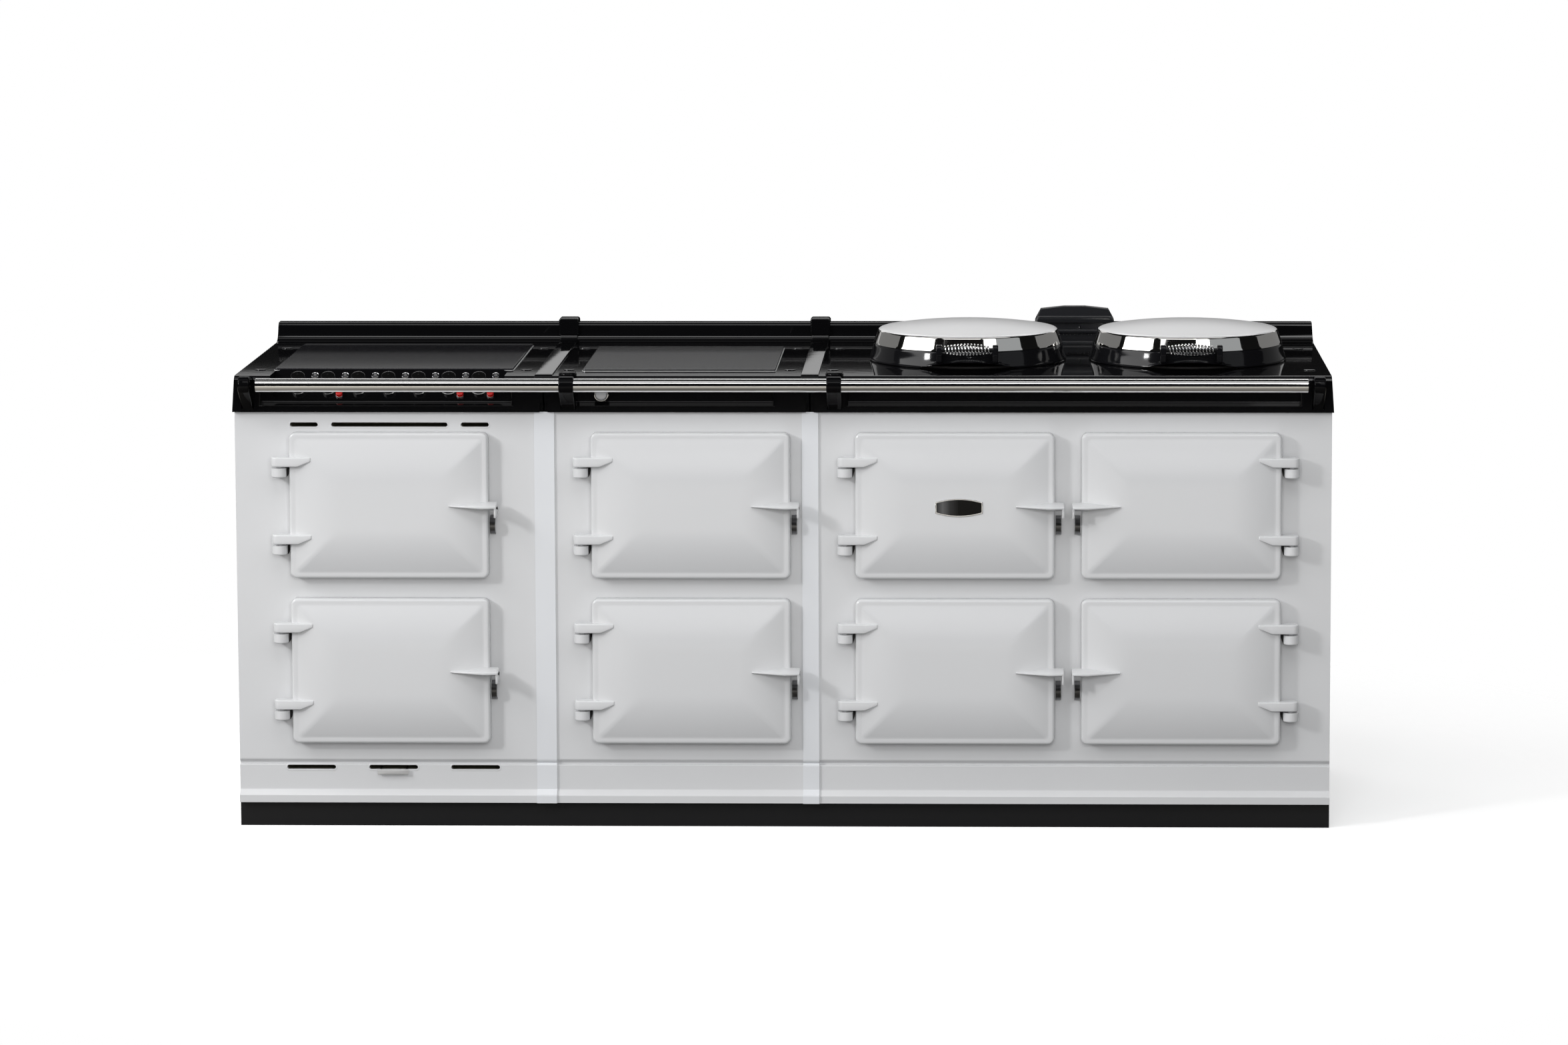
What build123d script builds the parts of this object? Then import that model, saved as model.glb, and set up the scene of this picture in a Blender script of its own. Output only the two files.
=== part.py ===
from build123d import *
import os
from math import asin, atan2, ceil, cos, degrees, hypot, pi, radians, sin, sqrt

# Cast iron range cooker in three modules, in millimetres.
# X runs to the right, Y to the back and Z up. The origin is on the floor, under the middle of the whole cooker.

# Modules, left to right
left_width = 588
middle_width = 504
right_width = 986
module_gap = 3

# Heights
plinth_height = 47
front_height = 751
top_height = 69
upstand_height = 39

# Depths
body_depth = 623
rail_reach = 69
gland_reach = 12
end_overhang = 3
end_lean = 4.5

# Front plates
front_wall = 10
groove_height = 10
groove_depth = 6
groove_lip_round = 1.5
moulding_round = 4
foot_edge_round = 2
skirt_height = 48
moulding_height = 10
moulding_reach = 10
foot_height = 14
seam_strip_height = 4
left_strip_width = 38
right_strip_width = 31

# Top castings
top_wall = 10
top_overhang = 10
nose_radius = 12
nose_height = 15
lip_height = 12
lip_slope = 6
recess_depth = 15
recess_slope = 4
recess_round = 3
recess_edge_round = 2
recess_end_round = 6
recess_ends = {"left": (52, 60), "middle": (60, 69), "right": (71, 61)}
seam_notch_width = 15
seam_notch_height = 18
seam_notch_depth = 9
cove_radius = 18
upstand_wall = 34
upstand_round = 8
cover_thickness = 3
cover_width = 38
cover_cap_width = 34
cover_cap_height = 9
cap_diameter = 22
cap_height = 1.5
cap_round = 0.8
cover_cap_round = 3
cap_inset_x = 41
cap_front_set = 94
cap_rear_set = 470

# Ovens and their doors
oven_width = 349
oven_height = 254
oven_depth = 476
oven_wall = 5
oven_corner = 20
upper_oven_z = 621
oven_pitch = 317.5
middle_oven_shift = 26
right_oven_spacing = 428
right_oven_shift = -5
door_width = 377
door_height = 278
door_corner = 12
door_gap = 1.5
door_rim_height = 26
door_rim_width = 11
door_edge_round = 5
door_slope = 85
door_crown = 19
door_crown_corner = 8
door_crown_steps = (0, 0.16, 0.34, 0.58, 1)
door_wall = 7
door_seat = 8
pan_clearance = 7
pan_reach = 12
pan_round = 3
pan_sheet = 1.5

# Door hinges
hinge_offset = 19.5
hinge_reach = 22
hinge_block_radius = 14.5
hinge_block_height = 17.5
hinge_block_round = 2.5
hinge_neck_width = 22
hinge_gap = 3
arm_height = 18
arm_width = 28
arm_over_door = 35
arm_reach = 41
arm_end_round = 2
arm_root_round = 13
arm_nose_round = 11
upper_arm_z = 75
lower_arm_z = -73
pin_diameter = 9
pin_drop = 16
running_clearance = 0.06

# Door latch
fin_length = 91
fin_overhang = 18
fin_reach = 63.5
fin_ridge_z = 1.5
fin_root_height = 11
fin_root_rise = 6.5
fin_ridge_height = 4
fin_tip_height = 6
fin_tip_ridge = 2
fin_end_set = 3
fin_leg_wall = 4
fin_leg_drop = 20
fin_leg_back = 14
catch_width = 10
catch_height = 36
catch_gap = 1.5
catch_top_z = -20
catch_reach = 22
catch_thickness = 1.5

# Oven inside
runner_width = 6
runner_height = 5
runner_z = -40
shelf_rod = 6
shelf_cross_rod = 5
shelf_clearance = 3
shelf_rods = 10
seat_clearance = 0.3
element_diameter = 7
element_set = 15
element_half_width = 95
element_front_set = 70
element_bend = 22

# Vent slots of the left module
slot_height = 8.5
upper_slot_z = 772.8
lower_slot_z = 113.5
outer_slot_x = 162.5
upper_centre_slot = 221
upper_outer_slot = 53
lower_slot_width = 93
lower_outer_slot_x = 157
tab_width = 59
tab_height = 10
tab_thickness = 2
tab_drop = 8
tab_stand_off = 6
tab_wire = 2.5
tab_wire_inside = 75
slot_pocket_depth = 80

# Rail and its brackets
rail_diameter = 26
rail_wall = 2.5
rail_height = 854
rail_inset = 48
stub_length = 20
bracket_width = 22
bracket_inset = 16
bracket_round = 17
bracket_top = 864
bracket_bottom = 802
bracket_root = 2
collar_width = 28
collar_offset = 47
collar_boss_radius = 17
collar_boss_set = 7
collar_boss_top = 876
collar_boss_bottom = 846
collar_boss_round = 5

# Hob glass and warming plate
glass_width = 457
glass_depth = 438
glass_front_set = 82
warm_width = 368
warm_depth = 409
warm_front_set = 69
plate_thickness = 4
plate_corner = 6
plate_edge = 1
plate_seat = 9
hob_coil_radius = 85
hob_coil_bore = 25
hob_coil_height = 12
hob_coil_spread_x = 112
hob_coil_spread_y = 100

# Control fascia
fascia_width = 445
fascia_shift = -2.5
fascia_bottom_set = 8
fascia_bottom_height = 817
fascia_top_set = 81
fascia_thickness = 3
fascia_corner = 14
fascia_clearance = 0.5
knob_count = 7
knob_pitch = 57.5
knob_row_shift = -6
knob_along = 44
knob_skirt_diameter = 36
knob_skirt_height = 3
knob_diameter = 29
knob_top_diameter = 27
knob_height = 20
knob_mark_width = 3
knob_mark_height = 1
knob_gap = 0.5
knob_edge = 1.5
knob_mark_set = 3
chrome_ring_height = 10
spindle_diameter = 6
spindle_length = 18
switch_width = 34
switch_depth = 30
disc_diameter = 15
disc_height = 1.5
disc_shift = 29
disc_along = 70
neon_diameter = 12
neon_height = 4
neon_shift = 25
neon_along = 15
neon_places = (1, 5, 6)
chrome_knob_diameter = 29
chrome_knob_height = 14
chrome_knob_shift = -143
chrome_knob_z = 831.5
chrome_face_diameter = 21

# Lids and hotplates
lid_spacing = 426
lid_shift = 17
lid_set = 291
skirt_bottom_radius = 191
skirt_top_radius = 182.5
skirt_inner_radius = 174
skirt_hem = 5
skirt_hem_round = 4
lid_skirt_height = 32.5
scallop_width = 188
scallop_height = 12
dome_radius = 183.5
dome_wall = 3.5
dome_taper = 7
dome_shoulder_radius = 167
dome_side_height = 53
dome_shoulder_height = 61.5
dome_shoulder_bulge = 3.2
dome_height = 75
liner_thickness = 4
liner_height = 10
hotplate_radius = 165
hotplate_height = 2
hotplate_thickness = 42
handle_length = 95
handle_height = 40
handle_reach = 26
handle_rod = 8
lug_width = 9.5
lug_round = 10
lug_foot_height = 14
lug_root_set = 6
lug_bend_round = 8
lug_small_round = 4
knuckle_root_set = 4
coil_turns = 14
coil_wire = 2.5
coil_end_diameter = 16
coil_middle_diameter = 24.5
coil_run_in = 8.5
coil_samples = 1200
lid_hinge_set = 22
lid_hinge_height = 22
knuckle_width = 60
knuckle_radius = 12
lid_pin_diameter = 10
ear_width = 12
ear_radius = 13
hinge_foot_height = 6
hinge_foot_back = 28

# Vent tower
tower_shift = 15
tower_width = 157
tower_depth = 41
tower_wall_height = 48
tower_shoulder_width = 134
tower_shoulder_height = 69
tower_crown_width = 42
tower_height = 74
louvre_width = 128
louvre_height = 6
louvre_depth = 8
louvre_levels = (5, 27)

# Casing, base and services
panel_thickness = 3
plinth_set = 2
plinth_wall = 12
frame_height = 22
frame_bar = 40
foot_diameter = 40
foot_base = 8
foot_stud = 12
insulation_gap = 6
insulation_top = 12
gland_bore_diameter = 20
gland_diameter = 34
gland_neck_diameter = 26
gland_length = 30
gland_x = -880
gland_z = 180

# Worked-out places
body_width = left_width + middle_width + right_width
left_x = -body_width / 2
first_seam_x = left_x + left_width
second_seam_x = first_seam_x + middle_width
right_x = second_seam_x + right_width
total_depth = rail_reach + body_depth + gland_reach
front_y = rail_reach - total_depth / 2
back_y = front_y + body_depth
inner_y = front_y + front_wall
front_top = plinth_height + front_height
hob_z = front_top + top_height
top_front_y = front_y - top_overhang
upstand_y = back_y - upstand_wall
recess_y = top_front_y + recess_depth
left_module_x = (left_x + first_seam_x) / 2
middle_module_x = (first_seam_x + second_seam_x) / 2
right_module_x = (second_seam_x + right_x) / 2
lower_oven_z = upper_oven_z - oven_pitch
lid_y = front_y + lid_set
skirt_z = hob_z + seat_clearance


def at_front(y):
    """Plane at depth y that faces the front: its x is X and its y is Z."""
    return Plane(origin=(0, y, 0), x_dir=(1, 0, 0), z_dir=(0, -1, 0))


def across(x):
    """Plane at x that faces right: its x is Y and its y is Z."""
    return Plane(origin=(x, 0, 0), x_dir=(0, 1, 0), z_dir=(1, 0, 0))


def level(z):
    """Plane at height z that faces up."""
    return Plane(origin=(0, 0, z), x_dir=(1, 0, 0), z_dir=(0, 0, 1))


def rounded_face(corners):
    """Face through corners (u, v, radius), each rounded by its radius."""
    points = [(u, v) for u, v, _ in corners]
    radii = [radius for _, _, radius in corners]
    return make_face(FilletPolyline(*points, radius=radii, close=True).edges())


def block(x0, x1, y0, y1, z0, z1):
    """Box between two corners."""
    centre = Pos((x0 + x1) / 2, (y0 + y1) / 2, (z0 + z1) / 2)
    return centre * Box(x1 - x0, y1 - y0, z1 - z0)


def place(offset, shapes):
    """The same solids moved by an offset."""
    return [Pos(*offset) * shape for shape in shapes]


# Front plates: one casting per module, with a groove, a skirt and a moulded foot

groove_z = plinth_height + foot_height + moulding_height + skirt_height
foot_top = plinth_height + foot_height
moulding_top = foot_top + moulding_height


def front_profile():
    """Section of a front plate."""
    return rounded_face([
        (inner_y, front_top, 0),
        (front_y, front_top, 0),
        (front_y, groove_z + groove_height, groove_height / 2),
        (front_y + groove_depth, groove_z + groove_height / 3, groove_depth / 3),
        (front_y + groove_depth, groove_z, 0),
        (front_y, groove_z, groove_lip_round),
        (front_y, moulding_top, moulding_round),
        (front_y - moulding_reach, foot_top, foot_edge_round),
        (front_y - moulding_reach, plinth_height, 0),
        (inner_y, plinth_height, 0),
    ])


def oven_cut(x, z, y0, y1, grow=0):
    """Rounded prism through an oven's opening, from y0 back to y1."""
    size = RectangleRounded(oven_width + 2 * grow, oven_height + 2 * grow, oven_corner + grow)
    return extrude(at_front(y0) * Pos(x, z) * size, amount=y0 - y1)


def slot_cut(x, z, width):
    """Vent slot with round ends through a front plate."""
    cut_depth = 3 * (front_wall + moulding_reach)
    outline = Pos(x, z) * SlotOverall(width, slot_height)
    return extrude(at_front(inner_y + front_wall) * outline, amount=cut_depth)


def front_plate(x0, x1, ovens):
    """Front plate from x0 to x1 with its oven openings."""
    plate = extrude(across(x0) * front_profile(), amount=x1 - x0)
    for x, z in ovens:
        plate -= oven_cut(x, z, front_y - front_wall, inner_y + front_wall)
    return plate


oven_zs = {"upper": upper_oven_z, "lower": lower_oven_z}
right_inner_x = right_module_x + right_oven_shift - right_oven_spacing / 2
right_outer_x = right_inner_x + right_oven_spacing
oven_columns = {
    "left": left_module_x,
    "middle": middle_module_x + middle_oven_shift,
    "right_inner": right_inner_x,
    "right_outer": right_outer_x,
}
ovens = [(column, row, x, z) for column, x in oven_columns.items() for row, z in oven_zs.items()]
oven_spots = [(x, z) for _, _, x, z in ovens]
module_spans = {
    "left": (left_x, first_seam_x - module_gap / 2),
    "middle": (first_seam_x + module_gap / 2, second_seam_x - module_gap / 2),
    "right": (second_seam_x + module_gap / 2, right_x),
}


def ovens_between(x0, x1):
    """Centres of the ovens of one module."""
    return [(x, z) for x, z in oven_spots if x0 < x < x1]


nodes = {}
for module, (x0, x1) in module_spans.items():
    nodes[module + "_front_plate"] = [front_plate(x0, x1, ovens_between(x0, x1))]

upper_slots = [
    (-outer_slot_x, upper_outer_slot),
    (0, upper_centre_slot),
    (outer_slot_x, upper_outer_slot),
]
lower_slots = [(shift, lower_slot_width) for shift in (-lower_outer_slot_x, 0, lower_outer_slot_x)]
slotted = nodes["left_front_plate"][0]
for slot_z, slots in ((upper_slot_z, upper_slots), (lower_slot_z, lower_slots)):
    for shift, width in slots:
        slotted -= slot_cut(left_module_x + shift, slot_z, width)
nodes["left_front_plate"] = [slotted]


# White strips that cover the seams of the front plates

def seam_strip(x, width):
    """Strip over the front plates' section at one seam."""
    section = front_profile()
    grown = offset(section, amount=seam_strip_height)
    keep = Pos(front_y - moulding_reach, plinth_height + front_height / 2)
    keep *= Rectangle(2 * (moulding_reach + groove_depth), front_height)
    return extrude(across(x - width / 2) * ((grown - section) & keep), amount=width)


nodes["front_seam_strips"] = [
    seam_strip(first_seam_x, left_strip_width),
    seam_strip(second_seam_x, right_strip_width),
]


# Doors. Each is built with its hinge on the left, around the oven's centre, with y = 0 on the front plate

def door_plate():
    """Slab with a rounded rim and a pillow face, which rises from the rim along a quarter of a parabola."""
    outline = RectangleRounded(door_width, door_height, door_corner)
    slab = extrude(at_front(-door_gap) * outline, amount=door_rim_height - door_gap)
    rim_edges = slab.faces().sort_by(Axis.Y)[0].edges()
    slab = fillet(rim_edges, door_edge_round)
    sections = []
    for step in door_crown_steps:
        height = door_rim_height + door_crown * (1 - (1 - step) ** 2)
        inset = 2 * (door_rim_width + door_slope * step)
        outline = RectangleRounded(door_width - inset, door_height - inset, door_crown_corner)
        sections.append(at_front(-height) * outline)
    return slab + loft(sections, ruled=True)


def hinge_arm(z):
    """Arm from the door over a hinge block, with its pin."""
    axis_x = -door_width / 2 - hinge_offset
    half = arm_width / 2
    end_x = -door_width / 2 + arm_over_door
    back = -hinge_reach + half
    outline = rounded_face([
        (axis_x - half, back, arm_root_round),
        (axis_x - half, -hinge_reach - half, arm_nose_round),
        (end_x, -arm_reach, arm_end_round),
        (end_x, -door_rim_height / 2, 0),
        (-door_width / 2 + door_edge_round, back, 0),
    ])
    arm = extrude(level(z) * outline, amount=arm_height)
    pin = Pos(axis_x, -hinge_reach, z - pin_drop / 2) * Cylinder(pin_diameter / 2, pin_drop)
    return arm + pin


def latch_fin():
    """Hood-shaped finger fin that grows out of the pillow and ends in a leg beside the catch."""
    tip_x = door_width / 2 + fin_overhang - fin_length
    end_x = door_width / 2 + fin_overhang
    root = -door_rim_height + door_gap

    def section(x, reach, top, bottom, nose):
        corners = [
            (root, top),
            (-reach, fin_ridge_z + nose / 2),
            (-reach, fin_ridge_z - nose / 2),
            (root, bottom),
        ]
        return across(x) * make_face(Polyline(*corners, close=True).edges())

    top = fin_ridge_z + fin_root_rise
    bottom = fin_ridge_z - fin_root_height
    hood = loft([
        section(
            tip_x, door_rim_height + door_crown,
            fin_ridge_z + fin_tip_height / 2, fin_ridge_z - fin_tip_height / 2, fin_tip_ridge,
        ),
        section(door_width / 2 - door_rim_width, fin_reach, top, bottom, fin_ridge_height),
    ], ruled=True)
    end = loft([
        section(door_width / 2 - door_rim_width, fin_reach, top, bottom, fin_ridge_height),
        section(end_x, fin_reach - fin_end_set, top, bottom, fin_ridge_height),
    ], ruled=True)
    leg = block(
        end_x - fin_leg_wall, end_x,
        -fin_reach + fin_end_set, -fin_leg_back,
        fin_ridge_z - fin_leg_drop, fin_ridge_z,
    )
    return hood + end + leg


def pan_block(sheet):
    """Rounded block as large as the door's inner pan, less a sheet's thickness all round."""
    width = oven_width - 2 * pan_clearance - 2 * sheet
    height = oven_height - 2 * pan_clearance - 2 * sheet
    outline = RectangleRounded(width, height, oven_corner - pan_round - sheet)
    pan = extrude(at_front(-door_gap) * outline, amount=-(pan_reach + door_gap - sheet))
    return fillet(pan.faces().sort_by(Axis.Y)[-1].edges(), pan_round - sheet)


def door_pan():
    """Pressed inner pan that closes the door's back and plugs into the oven's mouth."""
    return pan_block(0) - pan_block(pan_sheet)


def door_hollow():
    """Room for the insulation inside the door, behind its face."""
    width = oven_width - 2 * pan_clearance - 2 * door_seat
    height = oven_height - 2 * pan_clearance - 2 * door_seat
    rim_depth = door_rim_height - door_wall
    hollow = extrude(at_front(0) * RectangleRounded(width, height, door_corner), amount=rim_depth)
    width -= door_slope
    height -= door_slope
    inner = RectangleRounded(width, height, door_corner)
    return hollow + extrude(at_front(0) * inner, amount=rim_depth + door_crown / 2)


door_casting = door_plate() + hinge_arm(upper_arm_z) + hinge_arm(lower_arm_z) + latch_fin() - door_hollow()
door_inner = door_pan()


def hinge_block(z):
    """Round block on the front plate, with the bore that the door's pin drops into."""
    axis_x = -door_width / 2 - hinge_offset
    outline = Pos(axis_x, -hinge_reach) * Circle(hinge_block_radius)
    outline += Pos(axis_x, -hinge_reach / 2) * Rectangle(hinge_neck_width, hinge_reach)
    lug = extrude(level(z - hinge_gap) * outline, amount=-hinge_block_height)
    lug = fillet(lug.faces().sort_by(Axis.Z)[0].edges().filter_by(GeomType.CIRCLE), hinge_block_round)
    bore = Cylinder(pin_diameter / 2 + running_clearance, 3 * hinge_block_height)
    return lug - Pos(axis_x, -hinge_reach, z) * bore


def spring_catch():
    """Bowed spring strip beside the door's latch side, with its foot on the front plate."""
    x0 = door_width / 2 + fin_overhang - fin_leg_wall - catch_gap - catch_width
    top = catch_top_z
    bottom = top - catch_height
    middle = (top + bottom) / 2
    outer = ThreePointArc((0, top), (-catch_reach, middle), (0, bottom))
    inner = ThreePointArc(
        (0, top - catch_thickness), (-catch_reach + catch_thickness, middle), (0, bottom + catch_thickness)
    )
    lower_end = Line((0, bottom), (0, bottom + catch_thickness))
    upper_end = Line((0, top - catch_thickness), (0, top))
    return extrude(across(x0) * make_face([outer, lower_end, inner, upper_end]), amount=catch_width)


hinge_blocks = [hinge_block(upper_arm_z), hinge_block(lower_arm_z)]
catch = spring_catch()


def handed(column, shape):
    """The outermost column of doors is hinged on the right, the others on the left."""
    return mirror(shape, about=Plane.YZ) if column == "right_outer" else shape


nodes["hinge_blocks"] = []
nodes["door_catches"] = []
for column, row, x, z in ovens:
    spot = (x, front_y, z)
    name = column + "_" + row + "_door"
    nodes[name] = place(spot, [handed(column, door_casting)])
    nodes[name + "_pan"] = place(spot, [handed(column, door_inner)])
    nodes["hinge_blocks"] += place(spot, [handed(column, lug) for lug in hinge_blocks])
    nodes["door_catches"] += place(spot, [handed(column, catch)])


# Ovens: a liner with runners, a grid shelf and a roof element each

oven_back_y = inner_y + oven_depth


def oven_liner(x, z):
    """Box open to the front, with a runner on each side."""
    shell = oven_cut(x, z, inner_y, oven_back_y + oven_wall, oven_wall)
    shell -= oven_cut(x, z, inner_y - front_wall, oven_back_y)
    for side in (-1, 1):
        inner_x = x + side * (oven_width / 2 - runner_width)
        outer_x = x + side * (oven_width / 2 + oven_wall / 2)
        shell += block(
            min(inner_x, outer_x), max(inner_x, outer_x),
            inner_y + 2 * pan_reach, oven_back_y + oven_wall / 2,
            z + runner_z - runner_height, z + runner_z,
        )
    return shell


def oven_shelf(x, z):
    """Grid of round rods in a rod frame that lies on the runners."""
    half = oven_width / 2 - shelf_clearance - shelf_rod / 2
    y0 = inner_y + 3 * pan_reach
    y1 = oven_back_y - 2 * shelf_clearance
    height = z + runner_z + seat_clearance + shelf_rod / 2
    frame_rod = Plane(origin=(x - half, y0, height), z_dir=(0, 1, 0)) * Circle(shelf_rod / 2)
    side_rod = extrude(frame_rod, amount=y1 - y0)
    shelf = side_rod + Pos(2 * half, 0, 0) * side_rod
    cross = extrude(across(x - half) * Pos(y0, height) * Circle(shelf_cross_rod / 2), amount=2 * half)
    pitch = (y1 - y0 - 2 * shelf_rod) / (shelf_rods - 1)
    for index in range(shelf_rods):
        shelf += Pos(0, shelf_rod + index * pitch, 0) * cross
    return shelf


def roof_element(x, z):
    """Bent tube element under the oven's roof, both ends in the back wall."""
    height = z + oven_height / 2 - element_set
    front = inner_y + element_front_set
    path = FilletPolyline(
        (x - element_half_width, oven_back_y, height),
        (x - element_half_width, front, height),
        (x + element_half_width, front, height),
        (x + element_half_width, oven_back_y, height),
        radius=element_bend,
    )
    start = Plane(origin=(x - element_half_width, oven_back_y, height), z_dir=(0, -1, 0))
    return sweep(start * Circle(element_diameter / 2), path=path)


nodes["oven_liners"] = [oven_liner(x, z) for x, z in oven_spots]
nodes["oven_shelves"] = [oven_shelf(x, z) for x, z in oven_spots]
nodes["heating_elements"] = [roof_element(x, z) for x, z in oven_spots]


# Casing: insulation, side panels, back panel, plinth, base frame and feet

frame_z = plinth_height - frame_height
casing_y = back_y - panel_thickness


def insulation(x0, x1):
    """Fill between the ovens of one module and its casing."""
    fill = block(
        x0 + insulation_gap, x1 - insulation_gap,
        inner_y + seat_clearance, casing_y - seat_clearance,
        plinth_height + seat_clearance, front_top - insulation_top,
    )
    for x, z in ovens_between(x0, x1):
        fill -= oven_cut(x, z, inner_y, oven_back_y + oven_wall + seat_clearance, oven_wall + seat_clearance)
    return fill


nodes["insulation"] = [insulation(x0, x1) for x0, x1 in module_spans.values()]
for slot_z, slots in ((upper_slot_z, upper_slots), (lower_slot_z, lower_slots)):
    for shift, width in slots:
        nodes["insulation"][0] -= block(
            left_module_x + shift - width / 2, left_module_x + shift + width / 2,
            front_y, inner_y + slot_pocket_depth,
            slot_z - slot_height, slot_z + slot_height,
        )

side_panel = block(right_x - panel_thickness, right_x, inner_y, back_y, plinth_height, front_top)
back_panel = block(
    left_x + panel_thickness, right_x - panel_thickness, casing_y, back_y, frame_z, front_top,
)


def rear_rod(diameter, y0, y1):
    """Round bar along Y at the cable gland."""
    start = Plane(origin=(gland_x, y0, gland_z), z_dir=(0, 1, 0))
    return extrude(start * Circle(diameter / 2), amount=y1 - y0)


gland_y = back_y + gland_reach
gland = rear_rod(gland_diameter, back_y, gland_y)
gland += rear_rod(gland_neck_diameter, gland_y - gland_length, back_y)
gland -= rear_rod(gland_bore_diameter, gland_y - 2 * gland_length, gland_y + gland_reach)
back_panel -= rear_rod(gland_neck_diameter, casing_y - gland_reach, gland_y)
nodes["insulation"][0] -= rear_rod(gland_diameter, gland_y - 2 * gland_length, gland_y)
nodes["cable_gland"] = [gland]
nodes["casing_panels"] = [side_panel, mirror(side_panel, about=Plane.YZ), back_panel]

plinth_half = body_width / 2
plinth_y = front_y + plinth_set
frame_half = plinth_half - plinth_wall
frame_y = plinth_y + plinth_wall
plinth = block(-plinth_half, plinth_half, plinth_y, casing_y, 0, plinth_height)
plinth -= block(-frame_half, frame_half, frame_y, back_y, -plinth_height, 2 * plinth_height)
base = block(-frame_half, frame_half, frame_y, casing_y, frame_z, plinth_height)
bay_edges = [-frame_half + frame_bar]
for seam_x in (first_seam_x, second_seam_x):
    bay_edges += [seam_x - frame_bar / 2, seam_x + frame_bar / 2]
bay_edges += [frame_half - frame_bar]
for index in range(0, len(bay_edges), 2):
    base -= block(
        bay_edges[index], bay_edges[index + 1],
        frame_y + frame_bar, casing_y - frame_bar,
        0, 2 * plinth_height,
    )
foot = Pos(0, 0, foot_base / 2) * Cylinder(foot_diameter / 2, foot_base)
foot += Pos(0, 0, frame_z / 2) * Cylinder(foot_stud / 2, frame_z)
foot_xs = (-frame_half + frame_bar / 2, first_seam_x, second_seam_x, frame_half - frame_bar / 2)
foot_ys = (frame_y + frame_bar / 2 + plinth_set, casing_y - frame_bar / 2 - plinth_set)
nodes["plinth"] = [plinth]
nodes["base_frame"] = [base] + [Pos(x, y, 0) * foot for x in foot_xs for y in foot_ys]


# Top castings: nose, recess, lower lip, cove and upstand

def top_section(front):
    """Section of a top casting, from the corners of its front."""
    return rounded_face([(top_front_y, hob_z, nose_radius)] + front + [
        (top_front_y, front_top, 0),
        (back_y, front_top, 0),
        (back_y, hob_z + upstand_height, upstand_round / 2),
        (upstand_y, hob_z + upstand_height, upstand_round),
        (upstand_y, hob_z, cove_radius),
    ])


def plain_section():
    """Section through the solid ends of a top casting."""
    return top_section([])


def recessed_section():
    """Section through the recess between the nose and the lower lip."""
    nose_z = hob_z - nose_height
    lip_z = front_top + lip_height
    return top_section([
        (top_front_y, nose_z, recess_edge_round),
        (recess_y, nose_z - recess_slope, recess_round),
        (recess_y, lip_z + lip_slope, recess_round),
        (top_front_y, lip_z, recess_edge_round),
    ])


fascia_rise = hob_z - fascia_bottom_height
fascia_run = fascia_top_set - fascia_bottom_set
fascia_length = hypot(fascia_rise, fascia_run)
fascia_slope = atan2(fascia_rise, fascia_run)
fascia_out = (0, -sin(fascia_slope), cos(fascia_slope))
fascia_centre_y = front_y + (fascia_bottom_set + fascia_top_set) / 2
fascia_centre_z = (fascia_bottom_height + hob_z) / 2


def fascia_plane(raise_by=0):
    """Sloping plane of the control fascia: its x is X and its y climbs to the hob."""
    origin = (
        left_module_x + fascia_shift,
        fascia_centre_y + raise_by * fascia_out[1],
        fascia_centre_z + raise_by * fascia_out[2],
    )
    return Plane(origin=origin, x_dir=(1, 0, 0), z_dir=fascia_out)


def between_leaning_ends():
    """Space between the outer ends of the castings, which overhang at the bottom and lean inwards."""
    outer = body_width / 2 + end_overhang
    rise = top_height + upstand_height
    lean = end_lean * rise / top_height
    corners = [
        (-outer, front_top),
        (outer, front_top),
        (outer - lean, front_top + rise),
        (-outer + lean, front_top + rise),
    ]
    face = make_face(Polyline(*corners, close=True).edges())
    return extrude(at_front(back_y) * face, amount=back_y - top_front_y)


def recess_end(x0, x1, inner):
    """Solid end of the recess from x0 to x1, rounded at its inner edge."""
    outline = level(front_top) * Pos((x0 + x1) / 2, (top_front_y + recess_y) / 2)
    pad = extrude(outline * Rectangle(x1 - x0, recess_depth), amount=top_height)
    edge = pad.edges().filter_by(Axis.Z).group_by(Axis.Y)[0].sort_by(Axis.X)[inner]
    pad = fillet(edge, recess_end_round)
    return pad & extrude(across(x0) * plain_section(), amount=x1 - x0)


def top_casting(module):
    """Hollow top casting of one module, with its recess, its leaning end and the notches at the seams."""
    x0, x1 = module_spans[module]
    left_end, right_end = recess_ends[module]
    outer_x0 = x0 - end_overhang if x0 == left_x else x0
    outer_x1 = x1 + end_overhang if x1 == right_x else x1
    casting = extrude(across(outer_x0) * recessed_section(), amount=outer_x1 - outer_x0)
    casting += recess_end(outer_x0, x0 + left_end, -1)
    casting += recess_end(x1 - right_end, outer_x1, 0)
    casting -= block(
        x0 + top_wall, x1 - top_wall,
        recess_y + top_wall, upstand_y + upstand_wall / 2,
        front_top - top_wall, hob_z - top_wall,
    )
    for seam_x in (first_seam_x, second_seam_x):
        casting -= block(
            seam_x - seam_notch_width / 2, seam_x + seam_notch_width / 2,
            top_front_y - seam_notch_depth, top_front_y + seam_notch_depth,
            front_top - seam_notch_height, front_top + seam_notch_height,
        )
    return casting & between_leaning_ends()


def plate_opening(x, front_set, width, depth):
    """Rounded cut-out under a plate that rests on its edge."""
    y = front_y + front_set + depth / 2
    size = RectangleRounded(width - 2 * plate_seat, depth - 2 * plate_seat, plate_corner)
    return extrude(level(hob_z - 2 * top_wall) * Pos(x, y) * size, amount=3 * top_wall)


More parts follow.
